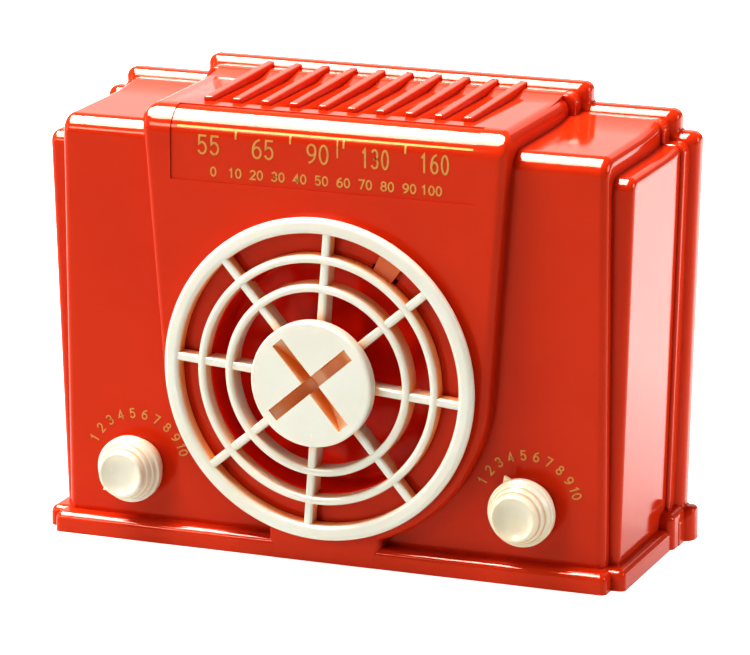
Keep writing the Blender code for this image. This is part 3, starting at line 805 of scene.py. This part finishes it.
def dial_cutter():
    """A thin slab that follows the centre block's front and its rounded top edge."""
    low_z = CENTRE_TOP - CENTRE_TOP_RADIUS
    inner = [(DIAL_DEPTH, DIAL_BOTTOM)]
    inner += arc(CENTRE_TOP_RADIUS, low_z, CENTRE_TOP_RADIUS - DIAL_DEPTH, 180.0, 92.0, 18)
    outer = [(-2.0, DIAL_BOTTOM)]
    outer += arc(CENTRE_TOP_RADIUS, low_z, CENTRE_TOP_RADIUS + 2.0, 180.0, 92.0, 18)
    section = inner + outer[::-1]
    left = [(-DIAL_HALF_WIDTH, y, z) for y, z in section]
    right = [(DIAL_HALF_WIDTH, y, z) for y, z in section]
    return prism("dial", left, right)


def sector(name, radius0, radius1, y0, y1, start, end, steps=8):
    """A curved bar about the grille's axis."""
    outline = arc(0.0, GRILLE_HEIGHT, radius1, start, end, steps)
    outline += arc(0.0, GRILLE_HEIGHT, radius0, end, start, steps)
    return prism(name, ring_at(outline, y0), ring_at(outline, y1))


def cabinet_hollows():
    """Everything that's cut from the inside of the cabinet."""
    hollow = inside_outline()
    cutters = [
        prism("inside_side", ring_at(hollow, SIDE_FRONT + WALL + 0.2), ring_at(hollow, BEHIND)),
        slab(
            "inside_shoulder",
            (-SHOULDER_HALF_WIDTH + WALL + 0.3, SHOULDER_FRONT + WALL, WALL + 0.3),
            (SHOULDER_HALF_WIDTH - WALL - 0.3, 30.0, SHOULDER_TOP - WALL - 0.3),
        ),
    ]
    shield = shield_outline(WALL + 0.4, stem=False)
    cutters.append(prism("inside_centre", ring_at(shield, WALL), ring_at(shield, 31.0)))
    recess = softened(grown(step_outline(), -0.6), 2.4, 1.1)
    recess = [(x, max(z, 1.6)) for x, z in recess]
    cutters.append(prism("cover_seat", ring_at(recess, COVER_LEDGE), ring_at(recess, BEHIND)))
    return cutters


def lug_slots():
    """The path of each lug: in from the front at the far end, then round behind the panel."""
    cutters = []
    for angle in LUG_ANGLES:
        start = angle - LUG_HALF_ANGLE - LUG_PLAY
        end = angle + LUG_TRAVEL + LUG_HALF_ANGLE + LUG_PLAY
        entry = end - 2.0 * (LUG_HALF_ANGLE + LUG_PLAY)
        cutters.append(sector("run", 28.5, 31.0, WALL, WALL + 2.3, start, end, 28))
        cutters.append(sector("entry", 28.3, 30.7, -1.0, WALL + 1.0, entry + 0.6, end - 0.6, 8))
    return cutters


def cabinet(material):
    shell = centre_block()
    solids = [
        stepped_block(
            "shoulder",
            front=SHOULDER_FRONT,
            top=SHOULDER_TOP,
            top_radius=SHOULDER_TOP_RADIUS,
            half_width=SHOULDER_HALF_WIDTH,
            narrowing=0.0,
            rise_from=SHOULDER_RISE_FROM,
            rise=SHOULDER_RISE,
            side_radius=SHOULDER_SIDE_RADIUS,
        ),
        stepped_block(
            "side",
            front=SIDE_FRONT,
            top=SIDE_TOP,
            top_radius=SIDE_TOP_RADIUS,
            half_width=SIDE_HALF_WIDTH,
            narrowing=SIDE_NARROWING,
            rise_from=SIDE_RISE_FROM,
            rise=SIDE_RISE,
            side_radius=SIDE_SIDE_RADIUS,
        ),
        lip("lip", LIP_HALF_WIDTH, LIP_FRONT, LIP_HEIGHT - 0.05),
        lip("side_lip", SIDE_LIP_HALF_WIDTH, SIDE_LIP_FRONT, LIP_HEIGHT + 0.1),
        foot_bump(-1.0),
        foot_bump(1.0),
        top_sweep(),
        bead("band", BAND_STANDS, BAND_FRONT, BAND_BACK, 0.7, 6),
        bead("rim", RIM_STANDS, RIM_FRONT, RIM_BACK, RIM_RADIUS),
    ]
    solids += [rib(i) for i in range(RIB_COUNT)]
    combine(shell, solids, "UNION")
    floor = slab("floor", (-90.0, -20.0, -30.0), (90.0, 70.0, 0.0))
    combine(shell, [floor] + cabinet_hollows(), "DIFFERENCE")
    collar = [
        (HOLE_RADIUS - 1.0, WALL - 0.5),
        (COLLAR_RADIUS, WALL - 0.5),
        (COLLAR_RADIUS, COLLAR_BACK),
        (HOLE_RADIUS - 1.0, COLLAR_BACK),
    ]
    added = [lathe("collar", collar, 0.0, GRILLE_HEIGHT)]
    for side in (-1.0, 1.0):
        for z in POST_HEIGHTS:
            added.append(rod("post", POST_RADIUS, SHOULDER_FRONT + 1.0, COVER_LEDGE, side * POST_X, z, 32))
    combine(shell, added, "UNION")
    holes = [rod("hole", HOLE_RADIUS, -5.0, 20.0, 0.0, GRILLE_HEIGHT, 128), dial_cutter()]
    for side in (-1.0, 1.0):
        holes.append(rod("stem_hole", STEM_RADIUS + 0.4, 0.0, 10.0, side * KNOB_X, KNOB_HEIGHT, 32))
        for z in POST_HEIGHTS:
            holes.append(rod("pilot", PILOT_RADIUS, COVER_LEDGE - PILOT_DEPTH, BEHIND, side * POST_X, z, 24))
    combine(shell, holes + lug_slots(), "DIFFERENCE")
    dress(shell, "cabinet_body", material, "cabinet", "cabinet_shell")


def back_cover(material):
    outline = softened(grown(step_outline(), -0.9), 2.1, 1.4)
    outline = [(x, max(z, 1.9)) for x, z in outline]
    cover = prism("back", ring_at(outline, COVER_LEDGE + 0.3), ring_at(outline, COVER_BACK))
    half = COIN_SLOT_LENGTH / 2.0
    low = COIN_SLOT_HEIGHT - COIN_SLOT_WIDTH / 2.0
    high = COIN_SLOT_HEIGHT + COIN_SLOT_WIDTH / 2.0
    cutters = [
        slab("coin_slot", (-half, 40.0, low), (half, BEHIND, high)),
        slab("slot_sink", (-half - 3.0, COVER_BACK - 0.6, low - 3.0), (half + 3.0, BEHIND, high + 3.0)),
    ]
    for side in (-1.0, 1.0):
        for z in POST_HEIGHTS:
            x = side * POST_X
            cutters.append(rod("clearance", CLEARANCE_RADIUS, 40.0, BEHIND, x, z, 32))
            cutters.append(rod("counterbore", COUNTERBORE_RADIUS, COVER_BACK - 1.2, BEHIND, x, z, 48))
    combine(cover, cutters, "DIFFERENCE")
    soft = cover.modifiers.new("soft", "BEVEL")
    soft.width = 0.25 * MM
    soft.segments = 3
    soft.limit_method = "ANGLE"
    soft.angle_limit = math.radians(50.0)
    bake(cover)
    dress(cover, "cover_panel", material, "cabinet", "back_cover")


# ---------------------------------------------------------------- grille


def grille_ring(name, inner, outer, back, soft, undercut=0.0):
    """One ring of the grille, with a rounded front and an outer side that draws in towards the back."""
    profile = []
    for radius, z in arc(inner + soft, 0.0, soft, 180.0, 90.0, 8):
        profile.append((radius, GRILLE_FACE + soft - z))
    for radius, z in arc(outer - soft, 0.0, soft, 90.0, 0.0, 8):
        if radius > profile[-1][0] + 0.01:
            profile.append((radius, GRILLE_FACE + soft - z))
    if undercut > 0.0:
        profile.append((outer, GRILLE_FACE + 1.6))
    profile += [(outer - undercut, back), (inner, back)]
    return lathe(name, profile, 0.0, GRILLE_HEIGHT, 192)


def grille_spoke(angle, radius0, radius1, y0, y1):
    half = SPOKE_HALF_WIDTH
    outline = [(radius0, -half), (radius1, -half), (radius1, half), (radius0, half)]
    turn = Matrix.Rotation(math.radians(angle), 2)
    front = []
    for point in outline:
        x, z = turn @ Vector(point)
        front.append((x, y0, z + GRILLE_HEIGHT))
    spoke = prism("spoke", front, [(x, y1, z) for x, _, z in front])

    def radius_of(a, b):
        along = Vector((a.x - b.x, a.z - b.z)).length > 4.0
        return 0.7 if along and a.y < y0 + 0.1 and b.y < y0 + 0.1 else 0.0

    return round_edges(spoke, radius_of, 6)


def disc_slot(angle, depth):
    """A slot whose floor follows a coin's edge."""
    centre = DISC_FACE + depth - SLOT_FLOOR_RADIUS
    bend = math.degrees(math.asin(SLOT_LENGTH / 2.0 / SLOT_FLOOR_RADIUS))
    section = [(SLOT_LENGTH / 2.0, DISC_FACE - 2.0)]
    for way, y in arc(0.0, centre, SLOT_FLOOR_RADIUS, 90.0 - bend, 90.0 + bend, 31):
        section.append((way, y))
    section.append((-SLOT_LENGTH / 2.0, DISC_FACE - 2.0))
    turn = Matrix.Rotation(math.radians(angle), 2)
    sides = []
    for offset in (-SLOT_WIDTH / 2.0, SLOT_WIDTH / 2.0):
        side = []
        for way, y in section:
            x, z = turn @ Vector((way, offset))
            side.append((x, y, z + GRILLE_HEIGHT))
        sides.append(side)
    return prism("slot", sides[0], sides[1])


def grille(material, shaded):
    """The ivory grille; its small index tab lies in the shade of the rings, and that shade and bounced red
    light are painted into its darker tan colour.
    """
    obj = grille_ring("outer_ring", *OUTER_RING, RING_BACK, 1.2, OUTER_UNDERCUT)
    solids = [
        grille_ring("middle_ring", *MIDDLE_RING, RING_BACK, RING_SOFT),
        grille_ring("inner_ring", *INNER_RING, INNER_RING_BACK, RING_SOFT),
    ]
    face = [(0.0, DISC_FACE)]
    corner = arc(DISC_RADIUS - DISC_SOFT, 0.0, DISC_SOFT, 90.0, 0.0, 6)
    face += [(radius, DISC_FACE + DISC_SOFT - z) for radius, z in corner]
    face += [(DISC_RADIUS, -4.2), (DISC_RADIUS - 0.4, -3.7)]
    face += [(BOSS_RADIUS, -3.4), (BOSS_RADIUS, BOSS_BACK), (0.0, BOSS_BACK)]
    solids.append(lathe("disc", face, 0.0, GRILLE_HEIGHT, 160))
    for i in range(SPOKE_COUNT):
        angle = GRILLE_TURN + 360.0 / SPOKE_COUNT * i
        solids.append(grille_spoke(angle, 10.0, 35.6, -3.5, -0.4))
        solids.append(grille_spoke(angle, 10.1, 26.9, -1.2, 0.8))
    tab = sector("tab", 29.2, 34.8, -1.25, -0.4, *TAB_ANGLES, 8)
    dress(tab, "index_tab_body", shaded, "grille")
    combine(obj, solids, "UNION")
    # One slot is a little deeper, so that the two floors don't coincide where they cross.
    first = disc_slot(GRILLE_TURN + 45.0, SLOT_DEPTH)
    slots = [first, disc_slot(GRILLE_TURN - 45.0, SLOT_DEPTH + 0.15)]
    combine(obj, slots, "DIFFERENCE")
    dress(obj, "grille_body", material, "grille", "speaker_grille")


def plug_cup(material):
    """The cup that closes the opening behind the grille, with the two bayonet lugs on its side."""
    floor = CUP_BACK - CUP_WALL
    inner = CUP_RADIUS - CUP_WALL
    profile = [(0.0, CUP_BACK), (CUP_RADIUS - 0.8, CUP_BACK), (CUP_RADIUS, CUP_BACK - 0.8)]
    profile += [(CUP_RADIUS, 0.2), (CUP_RADIUS - 0.2, 0.0), (inner + 0.2, 0.0), (inner, 0.2)]
    profile += [(inner - 1.0 + r, floor - 1.0 + y) for r, y in arc(0.0, 0.0, 1.0, 0.0, 90.0, 6)]
    profile += [(CUP_POST_RADIUS, floor), (CUP_POST_RADIUS, CUP_POST_FRONT), (0.0, CUP_POST_FRONT)]
    obj = lathe("plug", profile, 0.0, GRILLE_HEIGHT, 160)
    lugs = []
    for angle in LUG_ANGLES:
        start, end = angle - LUG_HALF_ANGLE, angle + LUG_HALF_ANGLE
        lugs.append(sector("lug", LUG_ROOT, LUG_REACH, WALL + 0.35, 4.2, start, end, 8))
    combine(obj, lugs, "UNION")
    dress(obj, "plug_cup_body", material, "grille", "plug_cup")


# ---------------------------------------------------------------- knobs and screws


def knob(word, side, turn, material):
    """A stepped knob with a small pointer, a dished end and a stem through the wall."""
    x = side * KNOB_X
    wall = SHOULDER_FRONT
    profile = [(0.0, wall - 9.45), (1.6, wall - 9.5), (3.0, wall - 9.7), (3.9, wall - 10.05)]
    profile += [(4.95 + r, wall - 9.95 - z) for r, z in arc(0.0, 0.0, 0.55, 140.0, 0.0, 8)]
    profile += [(5.7, wall - 9.0), (5.5, wall - 8.8)]
    profile += [(5.95 + r, wall - 8.25 - z) for r, z in arc(0.0, 0.0, 0.4, 110.0, 0.0, 5)]
    profile += [(6.5, wall - 7.6), (6.3, wall - 7.4)]
    profile += [(6.7 + r, wall - 6.8 - z) for r, z in arc(0.0, 0.0, 0.4, 110.0, 0.0, 5)]
    profile += [(7.3, wall - 6.0), (7.4, wall - 5.85)]
    profile += [(7.4 + r, wall - 5.3 - z) for r, z in arc(0.0, 0.0, 0.5, 80.0, 0.0, 5)]
    profile += [(KNOB_RADIUS, wall - 3.8), (6.5, wall - 2.6), (6.4, wall - 0.3)]
    profile += [(STEM_RADIUS, wall - 0.3), (STEM_RADIUS, wall + 6.0), (0.0, wall + 6.0)]
    obj = lathe(f"{word}_turned", profile, x, KNOB_HEIGHT, 128)
    pointer = [(KNOB_RADIUS - 0.8, -1.6), (KNOB_RADIUS - 0.8, 1.6), (KNOB_RADIUS + 1.3, 0.0)]
    matrix = Matrix.Rotation(math.radians(turn), 2)
    front = []
    for point in pointer:
        px, pz = matrix @ Vector(point)
        front.append((x + px, wall - 4.65, KNOB_HEIGHT + pz))
    tip = prism("pointer", front, [(px, wall - 3.7, pz) for px, _, pz in front])
    combine(obj, [tip], "UNION")
    dress(obj, f"{word}_knob_body", material, word, f"{word}_knob", 24.0)


def screw(i, side, z, material):
    """A round-headed screw with a straight slot."""
    x = side * POST_X
    seat = COVER_BACK - 1.1
    edge = seat + 0.3
    profile = [(0.0, seat - 8.4), (0.5, seat - 8.2), (SCREW_RADIUS, seat - 6.6), (SCREW_RADIUS, seat)]
    profile += [(HEAD_RADIUS, seat), (HEAD_RADIUS, edge)]
    for turn in (0.2, 0.45, 0.7, 0.95, 1.2, 1.4):
        profile.append((HEAD_RADIUS * math.cos(turn), edge + HEAD_HEIGHT * math.sin(turn)))
    profile.append((0.0, seat + 1.1))
    obj = lathe(f"turned_{i}", profile, x, z, 64)
    cut = slab("drive", (x - 3.0, seat + 0.5, z - 0.3), (x + 3.0, seat + 2.0, z + 0.3))
    combine(obj, [cut], "DIFFERENCE")
    dress(obj, f"screw_{i}", material, "cabinet", f"cover_screw_{i}")


# ---------------------------------------------------------------- printed numbers


def oval(cx, cz, rx, rz, start, end, steps=18):
    turns = [math.radians(start + (end - start) * i / steps) for i in range(steps + 1)]
    return [(cx + rx * math.cos(t), cz + rz * math.sin(t)) for t in turns]


def bow(a, b, c, steps=10):
    """A curve from a to c, drawn towards b."""
    points = []
    for i in range(steps + 1):
        t = i / steps
        points.append(tuple((1 - t) ** 2 * p + 2 * t * (1 - t) * q + t * t * r for p, q, r in zip(a, b, c)))
    return points


# Each digit is a list of strokes in a box one unit wide and one unit high.
SIX = [oval(0.5, 0.3, 0.48, 0.3, 0.0, 360.0), bow((0.02, 0.33), (0.03, 0.88), (0.80, 1.0))]
DIGITS = {
    "0": [oval(0.5, 0.5, 0.48, 0.5, 0.0, 360.0, 24)],
    "1": [[(0.22, 0.80), (0.55, 1.0), (0.55, 0.0)]],
    "2": [oval(0.5, 0.73, 0.45, 0.27, 165.0, -35.0, 12) + [(0.02, 0.0), (0.98, 0.0)]],
    "3": [oval(0.46, 0.75, 0.44, 0.25, 150.0, -90.0, 12) + oval(0.44, 0.26, 0.5, 0.26, 88.0, -150.0, 14)],
    "4": [[(0.98, 0.28), (0.0, 0.28), (0.74, 1.0), (0.74, 0.0)]],
    "5": [[(0.92, 1.0), (0.16, 1.0), (0.10, 0.54)] + oval(0.46, 0.32, 0.48, 0.32, 128.0, -150.0, 14)],
    "6": SIX,
    "7": [[(0.0, 1.0), (0.98, 1.0), (0.36, 0.0)]],
    "8": [oval(0.5, 0.76, 0.40, 0.24, 0.0, 360.0), oval(0.5, 0.27, 0.48, 0.27, 0.0, 360.0)],
    "9": [[(1.0 - x, 1.0 - z) for x, z in stroke] for stroke in SIX],
}


def number_strokes(text, x, z, width, height, gap):
    """The strokes of a number whose lower left corner is at (x, z)."""
    strokes = []
    for i, digit in enumerate(text):
        start = x + i * (width + gap)
        for stroke in DIGITS[digit]:
            strokes.append([(start + width * px, z + height * pz) for px, pz in stroke])
    return strokes


def text_width(text, width, gap):
    return len(text) * width + (len(text) - 1) * gap


def add_ribbon(bm, stroke, half, place, lift):
    """A flat raised line along the stroke; place(x, z, lift) puts a point on the surface."""
    closed = (Vector(stroke[0]) - Vector(stroke[-1])).length < 1e-6
    points = [Vector(p) for p in (stroke[:-1] if closed else stroke)]
    count = len(points)
    rows = []
    for i, point in enumerate(points):
        before = points[i - 1] if closed or i > 0 else None
        after = points[(i + 1) % count] if closed or i < count - 1 else None
        first = (point - before).normalized() if before is not None else (after - point).normalized()
        second = (after - point).normalized() if after is not None else first
        middle = (first + second).normalized()
        side = Vector((-middle.y, middle.x)) * (half / max(SHARPEST_MITRE, middle.dot(first)))
        extend = Vector((0.0, 0.0))
        if before is None:
            extend = -first * half * STROKE_OVERRUN
        if after is None:
            extend = second * half * STROKE_OVERRUN
        corners = []
        for sign, height in ((1.0, lift), (-1.0, lift), (-1.0, -PRINT_ROOT), (1.0, -PRINT_ROOT)):
            spot = point + extend + side * sign
            corners.append(bm.verts.new(place(spot.x, spot.y, height)))
        rows.append(corners)
    pairs = list(zip(rows, rows[1:]))
    if closed:
        pairs.append((rows[-1], rows[0]))
    else:
        bm.faces.new(rows[0][::-1])
        bm.faces.new(rows[-1])
    for near, far in pairs:
        for i in range(4):
            j = (i + 1) % 4
            bm.faces.new((near[i], near[j], far[j], far[i]))


def dense(stroke):
    """The stroke with points added, so that it can bend with the surface."""
    points = [stroke[0]]
    for a, b in zip(stroke, stroke[1:]):
        parts = max(1, math.ceil(math.dist(a, b) / LONGEST_DASH))
        for i in range(1, parts + 1):
            points.append(tuple(p + (q - p) * i / parts for p, q in zip(a, b)))
    return points


def on_dial(x, z, lift):
    """A point on the dial recess, which is flat and then rolls over with the top edge."""
    radius = CENTRE_TOP_RADIUS - DIAL_DEPTH
    low = CENTRE_TOP - CENTRE_TOP_RADIUS
    if z <= low:
        return at(x, DIAL_DEPTH - lift, z)
    turn = min((z - low) / radius, 1.45)
    reach = radius + lift
    return at(x, CENTRE_TOP_RADIUS - reach * math.cos(turn), low + reach * math.sin(turn))


def on_shoulder(x, z, lift):
    return at(x, SHOULDER_FRONT - lift, z)


def print_object(name, strokes, half, place, material):
    bm = bmesh.new()
    for i, stroke in enumerate(strokes):
        add_ribbon(bm, dense(stroke), half, place, PRINT_LIFT + PRINT_STAGGER * (i % 3))
    obj = to_object(name, bm)
    obj.data.materials.append(material)
    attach(obj, "cabinet")


def dial_print(material):
    strokes = [[(DIAL_LINE_LEFT, DIAL_LINE), (DIAL_LINE_RIGHT, DIAL_LINE)]]
    for x in DIAL_TICKS:
        strokes.append([(x, DIAL_LINE), (x, DIAL_LINE - DIAL_TICK_LENGTH)])
    print_object("dial_scale", strokes, BROAD_STROKE, on_dial, material)
    mark = [(DIAL_MARK, DIAL_LINE), (DIAL_MARK, DIAL_MARK_BOTTOM)]
    print_object("dial_mark", [mark], 0.2, on_dial, material)
    numbers = []
    for text, left, right in DIAL_NUMBERS:
        count = len(text)
        width = (right - left - DIAL_NUMBER_GAP * (count - 1)) / count
        numbers += number_strokes(
            text, left, DIAL_NUMBER_BASE, width, DIAL_NUMBER_HEIGHT, DIAL_NUMBER_GAP
        )
    print_object("dial_numbers", numbers, BROAD_STROKE, on_dial, material)
    log_scale = []
    for i in range(11):
        text = str(10 * i)
        middle = LOG_SCALE_LEFT + LOG_SCALE_PITCH * i
        left = middle - text_width(text, LOG_DIGIT_WIDTH, LOG_DIGIT_GAP) / 2.0
        log_scale += number_strokes(
            text, left, LOG_SCALE_BASE, LOG_DIGIT_WIDTH, LOG_DIGIT_HEIGHT, LOG_DIGIT_GAP
        )
    print_object("dial_log_scale", log_scale, 0.19, on_dial, material)


def knob_scale(word, side, material):
    """Numbers round a knob, each standing on the circle."""
    strokes = []
    for i in range(KNOB_SCALE_COUNT):
        turn = math.radians(KNOB_SCALE_START - KNOB_SCALE_SWEEP * i / (KNOB_SCALE_COUNT - 1))
        text = str(i + 1)
        left = -text_width(text, KNOB_DIGIT_WIDTH, KNOB_DIGIT_GAP) / 2.0
        base = -KNOB_DIGIT_HEIGHT / 2.0
        spin = Matrix.Rotation(turn - math.pi / 2.0, 2)
        across = side * KNOB_X + KNOB_SCALE_RADIUS * math.cos(turn)
        centre = Vector((across, KNOB_HEIGHT + KNOB_SCALE_RADIUS * math.sin(turn)))
        digits = number_strokes(text, left, base, KNOB_DIGIT_WIDTH, KNOB_DIGIT_HEIGHT, KNOB_DIGIT_GAP)
        for stroke in digits:
            strokes.append([tuple(centre + spin @ Vector(point)) for point in stroke])
    print_object(f"{word}_scale", strokes, FINE_STROKE, on_shoulder, material)


# ---------------------------------------------------------------- stage, camera, light


def stage():
    mat = Nodes("stage_floor_paper")
    fibre = mat.spread(mat.noise(3.0, 2.0), 0.3, 0.7, 0.0, 1.0)
    mat.send(mat.mix(fibre, PAPER_DARK, PAPER_LIGHT), "Base Color")
    split = mat.add("ShaderNodeSeparateXYZ", Vector=mat.place)
    # The paper glows, and more so behind the bank, so that it shows as plain white.
    mat.send(mat.spread(split.outputs["Y"], *GLOW_FROM_TO, *GLOW_LEVELS), "Emission Strength")
    mat.set(Roughness=0.9, Emission_Color=PAPER_GLOW)
    mat.shader.inputs["Specular IOR Level"].default_value = 0.0
    bm = bmesh.new()
    corners = [(-1.0, -1.0), (1.0, -1.0), (1.0, 1.0), (-1.0, 1.0)]
    bm.faces.new([bm.verts.new((x * FLOOR_REACH, y * FLOOR_REACH, 0.0)) for x, y in corners])
    floor = to_object("floor_plane", bm)
    floor.data.materials.append(mat.material)


def lamp(name, place, width, height, power, along):
    """A rectangular light that faces the bank, with its height along the given direction."""
    data = bpy.data.lights.new(name, "AREA")
    data.shape = "RECTANGLE"
    data.size = width
    data.size_y = height
    data.energy = power
    obj = bpy.data.objects.new(name, data)
    obj.location = place
    away = (Vector(place) - Vector(LAMP_TARGET)).normalized()
    side = Vector(along).cross(away).normalized()
    obj.rotation_euler = Matrix((side, away.cross(side), away)).transposed().to_euler()
    bpy.context.scene.collection.objects.link(obj)
    return obj


def lights():
    world = bpy.data.worlds.new("soft_studio")
    world.use_nodes = True
    background = world.node_tree.nodes["Background"]
    background.inputs["Color"].default_value = WORLD_COLOUR
    background.inputs["Strength"].default_value = WORLD_STRENGTH
    bpy.context.scene.world = world
    for settings in LAMPS:
        lamp(*settings)
    # This lamp only makes the highlights on the rounded top edges.
    shine = lamp(*SHINE_LAMP)
    shine.visible_diffuse = False


def camera():
    target = Vector(CAMERA_TARGET) * MM
    azimuth = math.radians(CAMERA_AZIMUTH)
    elevation = math.radians(CAMERA_ELEVATION)
    away = Vector(
        (
            math.sin(azimuth) * math.cos(elevation),
            -math.cos(azimuth) * math.cos(elevation),
            math.sin(elevation),
        )
    )
    data = bpy.data.cameras.new("view")
    data.lens = CAMERA_LENS
    data.sensor_width = 36.0
    data.clip_start = 0.05
    obj = bpy.data.objects.new("view", data)
    obj.location = target + away * CAMERA_DISTANCE
    facing = (-away).to_track_quat("-Z", "Y").to_matrix()
    obj.rotation_euler = (facing @ Matrix.Rotation(math.radians(CAMERA_ROLL), 3, "Z")).to_euler()
    bpy.context.scene.collection.objects.link(obj)
    bpy.context.scene.camera = obj


def main():
    red = red_plastic("cabinet_red_gloss", *map(srgb, CABINET_RED), CABINET_GLOSS)
    cover_red = red_plastic("cover_red_gloss", *map(srgb, COVER_RED), COVER_GLOSS)
    ivory = ivory_plastic("grille_ivory", *map(srgb, GRILLE_IVORY))
    shaded_ivory = ivory_plastic("index_tab_painted_shade", *map(srgb, TAB_PAINTED_SHADE))
    # The cup's brighter red is painted light, and it gets no painted shade.
    cup_red = red_plastic("cup_red_painted_light", *map(srgb, CUP_RED_PAINTED_LIGHT), CUP_GLOSS, 0.0)
    knob_ivory = ivory_plastic("knob_ivory", *map(srgb, KNOB_IVORY))
    gold = gold_stamp("gold_stamping")
    steel = metal("spring_steel_film", *SPRING_STEEL)
    plated = metal("plated_steel_film", *PLATED_STEEL)
    cabinet(red)
    back_cover(cover_red)
    grille(ivory, shaded_ivory)
    plug_cup(cup_red)
    for word, side, turn in KNOBS:
        knob(word, side, turn, knob_ivory)
        knob_scale(word, side, gold)
        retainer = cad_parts[f"{word}_retainer"]
        retainer.data.materials.clear()
        retainer.data.materials.append(steel)
    for i, (side, z) in enumerate((s, h) for h in POST_HEIGHTS for s in (-1.0, 1.0)):
        screw(i + 1, side, z, plated)
    dial_print(gold)
    stage()
    lights()
    camera()
    bpy.context.scene.view_settings.view_transform = "Standard"
    bpy.context.scene.view_settings.look = "High Contrast"


main()
